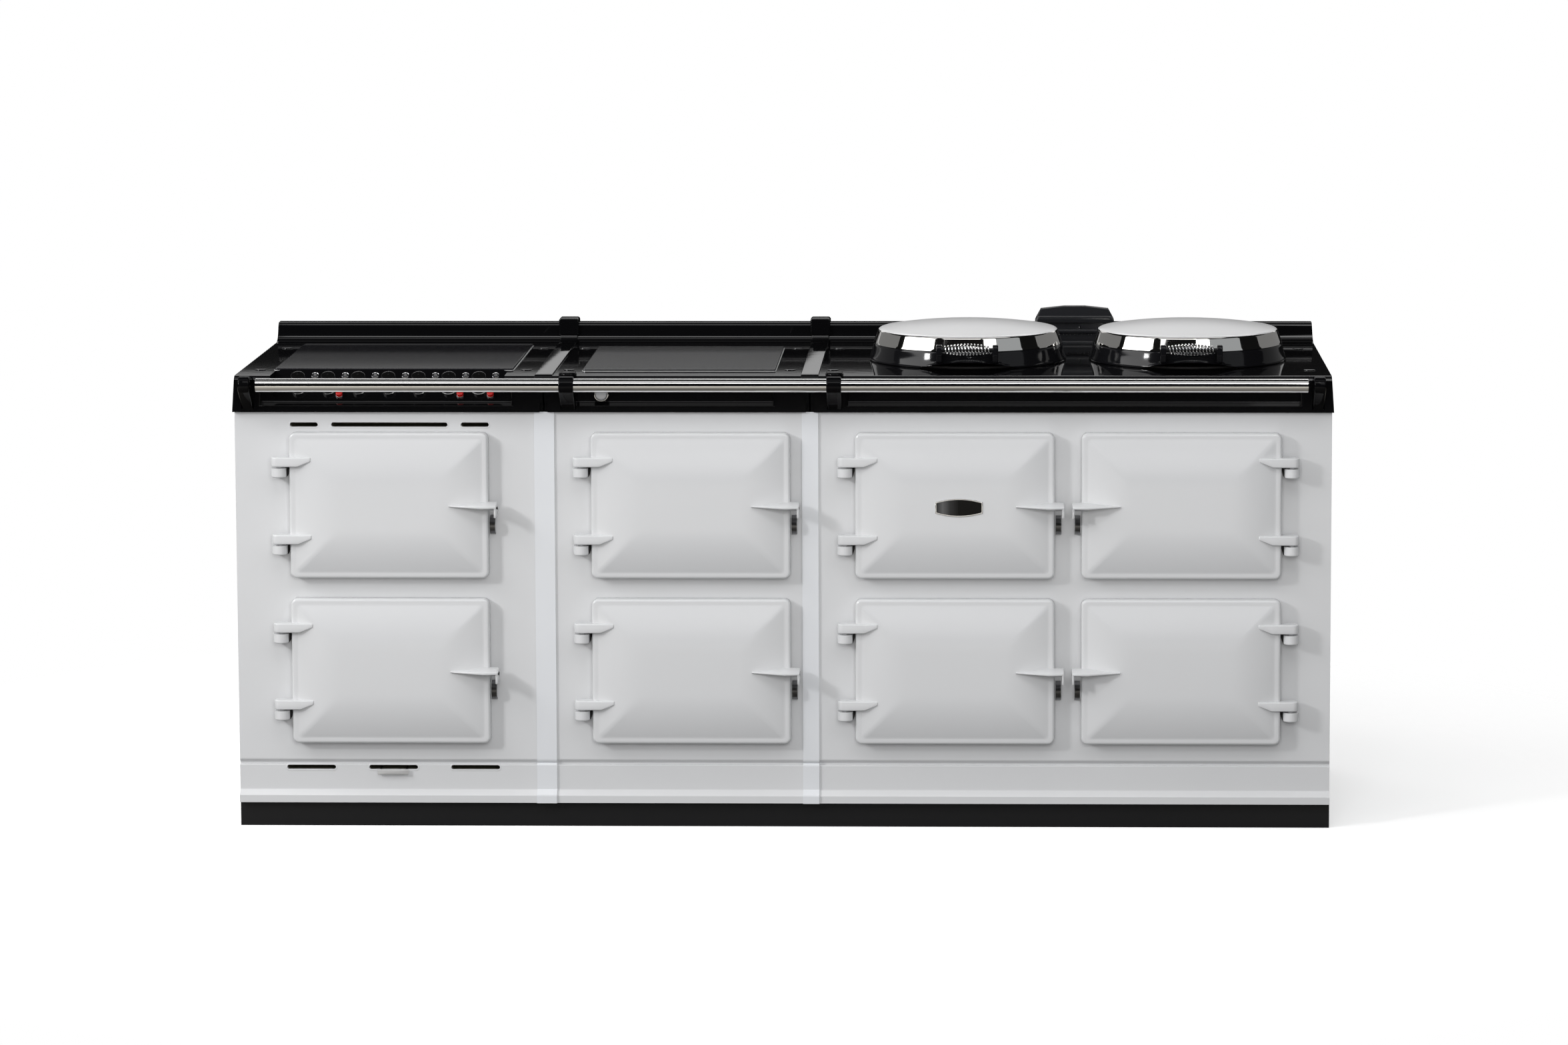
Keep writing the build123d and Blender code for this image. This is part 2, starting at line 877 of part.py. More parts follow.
def flat_plate(x, front_set, width, depth):
    """Thin plate on top of a casting."""
    y = front_y + front_set + depth / 2
    outline = Pos(x, y) * RectangleRounded(width, depth, plate_corner)
    plate = extrude(level(hob_z) * outline, amount=plate_thickness)
    return chamfer(plate.faces().sort_by(Axis.Z)[-1].edges(), plate_edge)


left_top = top_casting("left")
middle_top = top_casting("middle")
right_top = top_casting("right")
left_top -= plate_opening(left_module_x, glass_front_set, glass_width, glass_depth)
middle_top -= plate_opening(middle_module_x, warm_front_set, warm_width, warm_depth)
notch = RectangleRounded(fascia_width, fascia_length + 2 * fascia_corner, fascia_corner)
left_top -= extrude(fascia_plane() * Pos(0, fascia_corner) * notch, amount=top_height)

nodes["hob_glass"] = [flat_plate(left_module_x, glass_front_set, glass_width, glass_depth)]
nodes["warming_plate"] = [flat_plate(middle_module_x, warm_front_set, warm_width, warm_depth)]
hob_coil = Cylinder(hob_coil_radius, hob_coil_height) - Cylinder(hob_coil_bore, 2 * hob_coil_height)
glass_y = front_y + glass_front_set + glass_depth / 2
for side_x in (-1, 1):
    for side_y in (-1, 1):
        spot = Pos(
            left_module_x + side_x * hob_coil_spread_x,
            glass_y + side_y * hob_coil_spread_y,
            hob_z - hob_coil_height / 2,
        )
        nodes["heating_elements"].append(spot * hob_coil)


# Lids, hotplates and lid hinges. Each lid is built around its centre, with z = 0 under the skirt

lid_xs = (
    right_module_x + lid_shift - lid_spacing / 2,
    right_module_x + lid_shift + lid_spacing / 2,
)
handle_y = -(skirt_bottom_radius + handle_reach)
hinge_y = skirt_bottom_radius + lid_hinge_set


def turned(corners):
    """Solid of revolution about Z of a face through (radius, z, round) corners."""
    return revolve(Plane.XZ * rounded_face(corners), axis=Axis.Z)


def lid_skirt():
    """Flared ring with the finger scallop, handle lugs and rod, and the hinge knuckle."""
    ring = turned([
        (skirt_inner_radius, 0, 0),
        (skirt_bottom_radius, 0, 0),
        (skirt_bottom_radius, skirt_hem, skirt_hem_round),
        (skirt_top_radius, lid_skirt_height, 0),
        (skirt_inner_radius, lid_skirt_height, 0),
    ])
    half = scallop_width / 2
    scallop_radius = (half ** 2 + scallop_height ** 2) / (2 * scallop_height)
    scallop = Pos(0, scallop_height - scallop_radius) * Circle(scallop_radius)
    ring -= extrude(at_front(-skirt_inner_radius / 2) * scallop, amount=skirt_bottom_radius)

    lug_x = handle_length / 2
    lug_outline = rounded_face([
        (-skirt_inner_radius + lug_root_set, lug_foot_height, 0),
        (handle_y - lug_round / 2, lug_foot_height, lug_bend_round),
        (handle_y - lug_round, handle_height - lug_round, lug_small_round),
        (handle_y - lug_round, handle_height + lug_round, lug_bend_round),
        (handle_y + lug_round, handle_height + lug_round, lug_bend_round),
        (handle_y + lug_round, lid_skirt_height, lug_small_round),
        (-skirt_inner_radius + lug_root_set, lid_skirt_height, 0),
    ])
    lug = extrude(across(lug_x) * lug_outline, amount=lug_width)
    rod = extrude(across(-lug_x) * Pos(handle_y, handle_height) * Circle(handle_rod / 2), amount=2 * lug_x)
    handle = lug + mirror(lug, about=Plane.YZ) + rod

    knuckle = extrude(
        across(-knuckle_width / 2) * Pos(hinge_y, lid_hinge_height) * Circle(knuckle_radius),
        amount=knuckle_width,
    )
    knuckle += block(
        -knuckle_width / 2, knuckle_width / 2,
        skirt_inner_radius + knuckle_root_set, hinge_y,
        lid_hinge_height - knuckle_radius, lid_hinge_height + 2 * knuckle_root_set,
    )
    pin_hole = Circle(lid_pin_diameter / 2 + running_clearance)
    knuckle -= extrude(
        across(-knuckle_width) * Pos(hinge_y, lid_hinge_height) * pin_hole,
        amount=2 * knuckle_width,
    )
    return ring + handle + knuckle


def dome_edge(inwards):
    """Line of the dome's shell from its rim to its middle, inwards of the outside by a wall or nothing."""
    side = dome_radius - dome_taper - inwards
    side_height = dome_side_height - inwards / 3
    shoulder_radius = dome_shoulder_radius - inwards / 2
    shoulder_height = dome_shoulder_height - inwards
    bulge = dome_shoulder_bulge / sqrt(2)
    bend = ((side + shoulder_radius) / 2 + bulge, (side_height + shoulder_height) / 2 + bulge)
    return [
        Line((dome_radius - inwards, lid_skirt_height), (side, side_height)),
        ThreePointArc((side, side_height), bend, (shoulder_radius, shoulder_height)),
        TangentArc((0, dome_height - inwards), (shoulder_radius, shoulder_height), tangent=(1, 0)),
    ]


def lid_dome():
    """Polished domed shell that sits on the skirt."""
    outer = dome_edge(0)
    inner = dome_edge(dome_wall)
    ends = [Line(outer[0] @ 0, inner[0] @ 0), Line((0, dome_height), (0, dome_height - dome_wall))]
    section = make_face(outer + inner + ends)
    return revolve(Plane.XZ * section, axis=Axis.Z)


def lid_liner():
    """Polished disc that closes the lid's underside."""
    disc = Cylinder(skirt_inner_radius - seat_clearance / 2, liner_thickness)
    return Pos(0, 0, liner_height + liner_thickness / 2) * disc


def coil_point(turn):
    """Point and direction of the handle's coil at a number of turns from its left end.

    The coil's radius follows a half sine from its ends to its middle, and its axis runs along X.
    """
    share = turn / coil_turns
    end_radius = (coil_end_diameter - coil_wire) / 2
    swell = (coil_middle_diameter - coil_end_diameter) / 2
    radius = end_radius + swell * sin(pi * share)
    growth = swell * pi * cos(pi * share) / coil_turns
    run = handle_length - 2 * coil_run_in
    angle = 2 * pi * turn
    point = Vector(-run / 2 + run * share, radius * cos(angle), radius * sin(angle))
    direction = Vector(
        run / coil_turns,
        growth * cos(angle) - 2 * pi * radius * sin(angle),
        growth * sin(angle) + 2 * pi * radius * cos(angle),
    )
    return point, direction.normalized()


def biarc(start, start_direction, end, end_direction):
    """Two arcs that leave start and reach end in the given directions."""
    chord = end - start
    both = start_direction + end_direction
    spread = 2 * (1 - start_direction.dot(end_direction))
    reach = (-chord.dot(both) + sqrt(chord.dot(both) ** 2 + spread * chord.dot(chord))) / spread
    first = start + start_direction * reach
    second = end - end_direction * reach
    joint = (first + second) * 0.5
    return [
        Edge.make_tangent_arc(start, start_direction, joint),
        Edge.make_tangent_arc(joint, second - first, end),
    ]


coil_centre = Vector(0, handle_y, handle_height)


def coil_handle():
    """Wire coil between the lugs: one tube whose ends run straight into the lugs."""
    along = Vector(1, 0, 0)
    first, first_direction = coil_point(0)
    last, last_direction = coil_point(coil_turns)
    half = handle_length / 2
    start = Vector(-half, 0, -first.Y)
    finish = Vector(half, 0, last.Y)
    edges = [Edge.make_line(start, start + along * coil_wire)]
    edges += biarc(start + along * coil_wire, along, first, first_direction)
    for index in range(2 * coil_turns):
        edges += biarc(*coil_point(index / 2), *coil_point((index + 1) / 2))
    edges += biarc(last, last_direction, finish - along * coil_wire, along)
    edges.append(Edge.make_line(finish - along * coil_wire, finish))
    path = Wire(edges)
    coil = sweep(Plane(origin=start, z_dir=along) * Circle(coil_wire / 2), path=path)
    bends = [edge.radius for edge in edges if edge.geom_type == GeomType.CIRCLE]
    samples = [path.position_at(index / coil_samples) for index in range(coil_samples + 1)]
    spacing = path.length / coil_samples
    skip = ceil(4 * coil_wire / spacing)
    gap = min(
        (a - b).length
        for index, a in enumerate(samples[::3])
        for b in samples[3 * index + skip::3]
    )
    print(f"coil handle: tightest bend {min(bends):.2f} mm, least gap {gap - coil_wire:.2f} mm")
    wire_volume = pi * coil_wire ** 2 / 4 * path.length
    print(f"coil handle: volume over section times length {coil.volume / wire_volume:.4f}")
    return Pos(*coil_centre) * coil


skirt = lid_skirt()
dome = lid_dome()
liner = lid_liner()
coil = coil_handle()
hotplate = Pos(0, 0, hotplate_height - hotplate_thickness / 2) * Cylinder(hotplate_radius, hotplate_thickness)


def lid_bracket():
    """Two ears with the lid's pin, on one foot."""
    ear_x = knuckle_width / 2 + seat_clearance
    foot_half = ear_x + ear_width
    height = lid_hinge_height + seat_clearance
    bracket = block(
        -foot_half, foot_half,
        hinge_y - knuckle_radius, hinge_y + hinge_foot_back,
        0, hinge_foot_height,
    )
    ear_outline = Pos(hinge_y, height) * Circle(ear_radius)
    ear_outline += Pos(hinge_y, height / 2) * Rectangle(2 * ear_radius, height)
    for x in (-foot_half, ear_x):
        bracket += extrude(across(x) * ear_outline, amount=ear_width)
    pin = extrude(
        across(-foot_half) * Pos(hinge_y, height) * Circle(lid_pin_diameter / 2),
        amount=2 * foot_half,
    )
    return bracket + pin


nodes["hotplates"] = []
nodes["lid_hinge_brackets"] = []
for side, lid_x in zip(("left", "right"), lid_xs):
    spot = (lid_x, lid_y, skirt_z)
    nodes[side + "_lid_skirt"] = place(spot, [skirt])
    nodes[side + "_lid_dome"] = place(spot, [dome, liner])
    nodes[side + "_lid_coil_handle"] = place(spot, [coil])
    nodes["hotplates"] += place((lid_x, lid_y, hob_z), [hotplate])
    nodes["lid_hinge_brackets"] += place((lid_x, lid_y, hob_z), [lid_bracket()])
    right_top -= Pos(lid_x, lid_y, hob_z) * Cylinder(hotplate_radius + seat_clearance, 4 * top_wall)


# Vent tower against the upstand

tower_x = right_module_x + tower_shift
tower_face = make_face(Polyline(
    (-tower_width / 2, 0),
    (tower_width / 2, 0),
    (tower_width / 2, tower_wall_height),
    (tower_shoulder_width / 2, tower_shoulder_height),
    (tower_crown_width / 2, tower_height),
    (-tower_crown_width / 2, tower_height),
    (-tower_shoulder_width / 2, tower_shoulder_height),
    (-tower_width / 2, tower_wall_height),
    close=True,
).edges())
tower = extrude(at_front(upstand_y) * Pos(tower_x, hob_z) * tower_face, amount=tower_depth)
tower_front_y = upstand_y - tower_depth
for louvre_z in louvre_levels:
    tower -= block(
        tower_x - louvre_width / 2, tower_x + louvre_width / 2,
        tower_front_y - louvre_depth, tower_front_y + louvre_depth,
        hob_z + louvre_z - louvre_height / 2, hob_z + louvre_z + louvre_height / 2,
    )
cove_half = tower_width / 2 + cover_thickness
cove = extrude(across(tower_x - cove_half) * plain_section(), amount=2 * cove_half)
nodes["vent_tower"] = [tower - cove]


# Covers over the seams of the top castings, and the screw caps

def seam_cover(x):
    """Strip over the top castings' section at one seam, with a cap on the upstand."""
    section = plain_section()
    grown = offset(section, amount=cover_thickness)
    nose_z = hob_z - nose_height
    keep = Pos((top_front_y + back_y) / 2 - cover_thickness, nose_z + top_height)
    keep *= Rectangle(back_y - top_front_y + 2 * cover_thickness, 2 * top_height)
    cover = extrude(across(x - cover_width / 2) * ((grown - section) & keep), amount=cover_width)
    cap_top = hob_z + upstand_height + cover_cap_height
    cap = block(
        x - cover_cap_width / 2, x + cover_cap_width / 2,
        upstand_y - 2 * cover_thickness, back_y,
        hob_z + upstand_height / 3, cap_top,
    )
    cap = fillet(cap.edges().filter_by(Axis.Y), cover_cap_round)
    wall = extrude(across(x - cover_width) * plain_section(), amount=2 * cover_width)
    return cover + (cap - wall)


nodes["top_trim"] = [seam_cover(first_seam_x), seam_cover(second_seam_x)]
screw_cap = Pos(0, 0, cap_height / 2) * Cylinder(cap_diameter / 2, cap_height)
screw_cap = fillet(screw_cap.faces().sort_by(Axis.Z)[-1].edges(), cap_round)
module_edges = ((left_x, first_seam_x), (first_seam_x, second_seam_x), (second_seam_x, right_x))
for x0, x1 in module_edges:
    for cap_x in (x0 + cap_inset_x, x1 - cap_inset_x):
        for cap_set in (cap_front_set, cap_rear_set):
            nodes["top_trim"].append(Pos(cap_x, front_y + cap_set, hob_z) * screw_cap)

nodes["left_top_casting"] = [left_top]
nodes["middle_top_casting"] = [middle_top]
nodes["right_top_casting"] = [right_top]


# Control fascia with its knobs, discs, lamps and switches

knob_xs = [knob_row_shift + (index - (knob_count - 1) / 2) * knob_pitch for index in range(knob_count)]


def on_fascia(x, along, raise_by=0):
    """Location on the fascia, along from its lower edge."""
    return fascia_plane(raise_by) * Pos(x, along - fascia_length / 2)


def upright(location, radius, height):
    """Cylinder that stands on a location."""
    return location * Pos(0, 0, height / 2) * Cylinder(radius, height)


fascia_face = Pos(0, -fascia_clearance) * RectangleRounded(
    fascia_width - 2 * fascia_clearance,
    fascia_length - 2 * fascia_clearance,
    fascia_corner - fascia_clearance,
)
fascia = extrude(fascia_plane() * fascia_face, amount=fascia_thickness)
spindle_hole = spindle_diameter / 2 + running_clearance
nodes["rotary_switches"] = []
nodes["symbol_discs"] = []
nodes["neon_lamps"] = []
for index, x in enumerate(knob_xs):
    seat = on_fascia(x, knob_along)
    face = on_fascia(x, knob_along, fascia_thickness)
    hole = upright(on_fascia(x, knob_along, -2 * switch_depth), spindle_hole, 3 * switch_depth)
    fascia -= hole
    body = seat * Pos(0, 0, -switch_depth / 2) * Box(switch_width, switch_width, switch_depth)
    nodes["rotary_switches"].append(body - hole)
    skirt_disc = upright(face * Pos(0, 0, knob_gap), knob_skirt_diameter / 2, knob_skirt_height)
    grip_at = face * Pos(0, 0, knob_gap + knob_skirt_height + knob_height / 2)
    grip = grip_at * Cone(knob_diameter / 2, knob_top_diameter / 2, knob_height)
    above = grip_at * Pos(0, 0, knob_height)
    grip = chamfer(grip.edges().sort_by_distance(above.position)[0], knob_edge)
    mark_at = grip_at * Pos(0, knob_top_diameter / 4, knob_height / 2 + knob_mark_height / 4)
    mark = mark_at * Box(knob_mark_width, knob_top_diameter / 2 - knob_mark_set, knob_mark_height)
    spindle = upright(face * Pos(0, 0, knob_gap - spindle_length), spindle_diameter / 2, spindle_length)
    nodes[f"control_knob_{index + 1}"] = [skirt_disc + grip + mark + spindle]
    disc_face = on_fascia(x + disc_shift, disc_along, fascia_thickness)
    nodes["symbol_discs"].append(upright(disc_face, disc_diameter / 2, disc_height))
    if index in neon_places:
        lamp_face = on_fascia(x + neon_shift, neon_along, fascia_thickness)
        lamp = upright(lamp_face, neon_diameter / 2, neon_height)
        above = lamp_face * Pos(0, 0, 2 * neon_height)
        nodes["neon_lamps"].append(fillet(lamp.edges().sort_by_distance(above.position)[0], neon_height / 2))
nodes["control_fascia"] = [fascia]

# Chrome control on the middle module's recess, with its spindle in the casting

chrome_x = middle_module_x + chrome_knob_shift
chrome_plane = Plane(origin=(chrome_x, recess_y - knob_gap, chrome_knob_z), x_dir=(1, 0, 0), z_dir=(0, -1, 0))
chrome = extrude(chrome_plane * Circle(chrome_knob_diameter / 2), amount=chrome_ring_height)
chrome = chamfer(chrome.faces().sort_by(Axis.Y)[0].edges(), knob_edge)
chrome += extrude(chrome_plane * Circle(chrome_face_diameter / 2), amount=chrome_knob_height)
chrome += extrude(chrome_plane * Circle(spindle_diameter / 2), amount=-spindle_length)
nodes["chrome_control"] = [chrome]
middle_top -= extrude(chrome_plane * Circle(spindle_hole), amount=-2 * spindle_length)
nodes["middle_top_casting"] = [middle_top]


# Handrail, end brackets with stubs, and collars

rail_y = front_y - rail_reach + bracket_round
rail_half = body_width / 2 - rail_inset
rail_hole = rail_diameter / 2 - rail_wall


def along_rail(x0, x1, radius):
    """Round bar along the rail's axis."""
    return extrude(across(x0) * Pos(rail_y, rail_height) * Circle(radius), amount=x1 - x0)


def rail_arm(x0, x1):
    """Arm from the top casting's nose and lip to the rail."""
    tip = Pos(rail_y, rail_height) * Circle(bracket_round)
    root = Rectangle(bracket_root, bracket_top - bracket_bottom)
    root = Pos(top_front_y - bracket_root / 2, (bracket_top + bracket_bottom) / 2) * root
    arm = extrude(across(x0) * make_hull((tip + root).edges()), amount=x1 - x0)
    return arm & block(x0, x1, front_y - 2 * rail_reach, top_front_y, 0, 2 * hob_z)


def collar_with_boss(x, arm):
    """Collar arm with a round boss above its root, bored for the rail."""
    boss = level(collar_boss_bottom) * Pos(x, top_front_y - collar_boss_set) * Circle(collar_boss_radius)
    boss = extrude(boss, amount=collar_boss_top - collar_boss_bottom)
    boss = fillet(boss.faces().sort_by(Axis.Z)[-1].edges(), collar_boss_round)
    boss &= block(
        x - collar_width, x + collar_width,
        top_front_y - 2 * collar_boss_radius, top_front_y,
        collar_boss_bottom, collar_boss_top,
    )
    return arm + boss - along_rail(x - collar_width, x + collar_width, rail_diameter / 2 + running_clearance)


rail = along_rail(-rail_half, rail_half, rail_diameter / 2)
nodes["handrail"] = [rail - along_rail(-rail_half, rail_half, rail_hole)]
bracket_outer = body_width / 2 - bracket_inset
bracket_inner = bracket_outer - bracket_width
end_bracket = rail_arm(bracket_inner, bracket_outer)
end_bracket += along_rail(rail_half - stub_length, bracket_inner, rail_hole - running_clearance)
nodes["rail_brackets"] = [end_bracket, mirror(end_bracket, about=Plane.YZ)]
for seam_x in (first_seam_x, second_seam_x):
    collar_x = seam_x + collar_offset
    collar = rail_arm(collar_x - collar_width / 2, collar_x + collar_width / 2)
    nodes["rail_brackets"].append(collar_with_boss(collar_x, collar))


# Pull tab on two wires that slide in the lower middle slot

tab_z = lower_slot_z - tab_drop
tab_y = front_y - tab_stand_off
wire_z = lower_slot_z - slot_height / 2 + tab_wire / 2 + seat_clearance
tab = block(
    left_module_x - tab_width / 2, left_module_x + tab_width / 2,
    tab_y - tab_thickness, tab_y,
    tab_z - tab_height / 2, tab_z + tab_height / 2,
)
for side in (-1, 1):
    wire_x = left_module_x + side * (tab_width / 2 - 2 * tab_wire)
    wire_y = tab_y + tab_wire / 4
    points = [(wire_x, wire_y, tab_z), (wire_x, wire_y, wire_z), (wire_x, inner_y + tab_wire_inside, wire_z)]
    path = FilletPolyline(*points, radius=tab_wire)
    tab += sweep(Plane(origin=points[0], z_dir=(0, 0, 1)) * Circle(tab_wire / 2), path=path)
nodes["pull_tab"] = [tab]


os.makedirs("parts", exist_ok=True)
for name, solids in nodes.items():
    pieces = [solid for shape in solids for solid in shape.solids()]
    export_step(pieces[0] if len(pieces) == 1 else Compound(children=pieces), f"parts/{name}.step")
print(len(nodes), "nodes")
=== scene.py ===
from math import cos, pi, radians, sin
import bpy
import numpy as np
from mathutils import Matrix, Vector


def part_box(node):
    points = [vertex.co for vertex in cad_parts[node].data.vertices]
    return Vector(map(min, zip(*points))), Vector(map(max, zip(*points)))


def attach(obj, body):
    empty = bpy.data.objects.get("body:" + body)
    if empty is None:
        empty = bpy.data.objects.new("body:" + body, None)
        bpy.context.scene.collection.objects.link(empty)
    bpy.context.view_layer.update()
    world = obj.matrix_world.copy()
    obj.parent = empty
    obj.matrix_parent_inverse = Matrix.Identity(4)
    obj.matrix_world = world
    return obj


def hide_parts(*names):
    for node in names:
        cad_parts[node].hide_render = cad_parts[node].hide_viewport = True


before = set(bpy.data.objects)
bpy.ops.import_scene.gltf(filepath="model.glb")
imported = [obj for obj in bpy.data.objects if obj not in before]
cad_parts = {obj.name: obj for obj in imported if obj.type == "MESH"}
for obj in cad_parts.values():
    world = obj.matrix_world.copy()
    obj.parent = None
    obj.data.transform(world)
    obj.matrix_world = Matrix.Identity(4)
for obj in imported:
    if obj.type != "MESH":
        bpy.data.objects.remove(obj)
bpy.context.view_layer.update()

# The camera stands nearly square to the doors, well back and above the hob, with a long lens.
# It looks slightly down, as in the photograph.
panel_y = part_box("door_catches")[1].y
camera = bpy.data.objects.new("camera", bpy.data.cameras.new("camera"))
camera.data.lens = 36 * 7769.6 / 2352
camera.data.shift_x = -0.06
camera.data.shift_y = -0.10
camera.data.clip_end = 80
camera.location = (0.4094, panel_y - 9.7186, 1.9863)
turn = Matrix.Rotation(radians(1.3404), 4, "Z") @ Matrix.Rotation(radians(90 - 6.4591), 4, "X")
camera.rotation_euler = (turn @ Matrix.Rotation(radians(-0.1223), 4, "Z")).to_euler()
bpy.context.scene.collection.objects.link(camera)
bpy.context.scene.camera = camera
bpy.context.scene.view_settings.view_transform = "Standard"


# Studio. A white painted board carries the cooker, softboxes light it and the room behind them is dark.
# Only the camera sees the room as white, so black enamel stays black.
class Signal:
    """One output of a material's node. Arithmetic on it adds Math nodes."""

    def __init__(self, tree, socket=None):
        self.tree = tree
        self.socket = socket

    def node(self, kind, settings, inputs, output=0):
        """Adds a shader node, gives it its settings, links or sets its inputs and returns one output."""
        made = self.tree.nodes.new("ShaderNode" + kind)
        for name, value in settings.items():
            if name == "stops":
                ramp = made.color_ramp
                for index, (place, colour) in enumerate(value):
                    stop = ramp.elements[index] if index < 2 else ramp.elements.new(place)
                    stop.position = place
                    stop.color = (*colour, 1) if isinstance(colour, tuple) else (colour, colour, colour, 1)
            else:
                setattr(made, name, value)
        for name, value in inputs.items():
            if isinstance(value, Signal):
                self.tree.links.new(value.socket, made.inputs[name])
            else:
                made.inputs[name].default_value = value
        return Signal(self.tree, made.outputs[output])

    def maths(self, operation, *values):
        """Adds a Math node that works on these values."""
        return self.node("Math", {"operation": operation}, dict(enumerate(values)))

    def __add__(self, other):
        return self.maths("ADD", self, other)

    def __sub__(self, other):
        return self.maths("SUBTRACT", self, other)

    def __rsub__(self, other):
        return self.maths("SUBTRACT", other, self)

    def __mul__(self, other):
        return self.maths("MULTIPLY", self, other)

    def __truediv__(self, other):
        return self.maths("DIVIDE", self, other)

    __radd__ = __add__
    __rmul__ = __mul__


def new_finish(name, **constants):
    """A material with its Principled shader's sockets set: returns the material, the shader and a Signal."""
    finish = bpy.data.materials.new(name)
    finish.use_nodes = True
    shader = finish.node_tree.nodes["Principled BSDF"]
    for socket, value in constants.items():
        words = socket.replace("_", " ").title().replace("Ior", "IOR")
        shader.inputs[words].default_value = value
    return finish, shader, Signal(finish.node_tree)


def feed(shader, socket, signal):
    """Links a signal to one socket of a shader."""
    signal.tree.links.new(signal.socket, shader.inputs[socket])


def softbox(name, place, target, width, height, brightness, colour=(1, 1, 1)):
    """Rectangular area light that faces a point. Its brightness is the radiance of its face."""
    light = bpy.data.lights.new(name, "AREA")
    light.shape = "RECTANGLE"
    light.size = width
    light.size_y = height
    light.energy = brightness * pi * width * height
    light.color = colour
    lamp = bpy.data.objects.new(name, light)
    lamp.location = place
    lamp.rotation_euler = (Vector(target) - Vector(place)).to_track_quat("-Z", "Y").to_euler()
    lamp.visible_camera = False
    bpy.context.scene.collection.objects.link(lamp)
    return lamp


world = bpy.data.worlds.new("studio")
bpy.context.scene.world = world
world.use_nodes = True
sky = Signal(world.node_tree)
seen = sky.node("LightPath", {}, {}, output="Is Camera Ray")
mirrored = sky.node("LightPath", {}, {}, output="Is Glossy Ray")
background = world.node_tree.nodes["Background"]
background.inputs["Color"].default_value = (1, 1, 1, 1)
world_level = seen + (1 - seen) * (0.16 - 0.152 * mirrored)
world.node_tree.links.new(world_level.socket, background.inputs["Strength"])

floor_white, floor_shader, floor_signal = new_finish(
    "floor_white", roughness=0.9, specular_ior_level=0.1, emission_strength=1)
floor_seen = floor_signal.node("LightPath", {}, {}, output="Is Camera Ray")
floor_mirrored = floor_signal.node("LightPath", {}, {}, output="Is Glossy Ray")
floor_spot = floor_signal.node("TexCoord", {}, {}, output="Object")
floor_far = floor_signal.node("VectorMath", {"operation": "LENGTH"}, {"Vector": floor_spot}, output="Value")
floor_warm = floor_signal.node("ValToRGB", {"stops": [
    (0.08, (0.1, 0.095, 0.085)), (0.42, (0.8, 0.76, 0.68)), (0.54, (0.85, 0.82, 0.76)),
    (0.64, (0.03, 0.03, 0.03))]}, {"Fac": floor_far / 10})
floor_bounce = floor_signal.node(
    "Mix", {"data_type": "RGBA"},
    {"Factor": floor_mirrored, "A": (0.2, 0.2, 0.2, 1), "B": floor_warm}, output=2)
floor_colour = floor_signal.node(
    "Mix", {"data_type": "RGBA"},
    {"Factor": floor_seen, "A": floor_bounce, "B": (0.9, 0.9, 0.9, 1)}, output=2)
feed(floor_shader, "Base Color", floor_colour)
feed(floor_shader, "Emission Color", floor_seen * 0.45)
floor_edge = floor_signal.node("MapRange", {}, {
    "Value": floor_far, "From Min": 1.3, "From Max": 2.2, "To Min": 1.0, "To Max": 0.0})
feed(floor_shader, "Alpha", floor_edge * floor_seen + (1 - floor_seen))
floor_mesh = bpy.data.meshes.new("floor")
floor_mesh.from_pydata([(-14, -14, 0), (14, -14, 0), (14, 14, 0), (-14, 14, 0)], [], [(0, 1, 2, 3)])
floor_mesh.materials.append(floor_white)
floor = bpy.data.objects.new("floor", floor_mesh)
bpy.context.scene.collection.objects.link(floor)

front_fill = softbox("front_fill", (0.5, -6.9, 2.25), (0, 0, 0.6), 3.0, 2.4, 6.9)
front_fill.visible_glossy = False
softbox("key_light", (-4.4, -3.9, 2.8), (0, -0.3, 0.6), 0.7, 0.7, 60)
softbox("rail_light", (-0.15, -2.698, 3.607), (-0.15, -0.36, 0.87), 2.9, 1.07, 2.4)
softbox("strip_light", (0, -0.85, 3.6), (0, -0.85, 0), 5.0, 0.6, 0.9)
softbox("rear_top", (0.1, 2.92, 3.7), (0.1, 2.92, 0.0), 5.0, 0.96, 2.6)
softbox("rear_strip", (-0.55, 1.2, 1.0525), (-0.55, -3, 1.0525), 1.5, 0.045, 0.36)
softbox("rear_light", (0.4, 4.6, 2.6), (0.4, 0, 1.2), 6.5, 1.4, 0.8)
softbox("left_wall", (-3.7, -1.6, 3.3), (0.3, -0.2, 1.0), 3.6, 2.2, 4.0)
softbox("right_strip", (1.35, -1.75, 2.2), (0.65, 0, 1.0), 0.6, 1.2, 2.2)
softbox("right_wall", (4.0, -3.1, 3.2), (0.4, -0.2, 1.0), 4.0, 2.4, 0.5, (0.93, 0.97, 1.0))
softbox("rear_left", (-3.2, 2.6, 2.0), (0.5, 0, 1.0), 4.4, 1.9, 0.25)
softbox("rear_right", (4.0, 2.6, 2.0), (0.5, 0, 1.0), 4.4, 1.9, 0.25)


# Front plates, their seam strips and hinge blocks: grey iron castings under white vitreous enamel.
# The enamel is a thick fired glass, glossy and very slightly wavy.


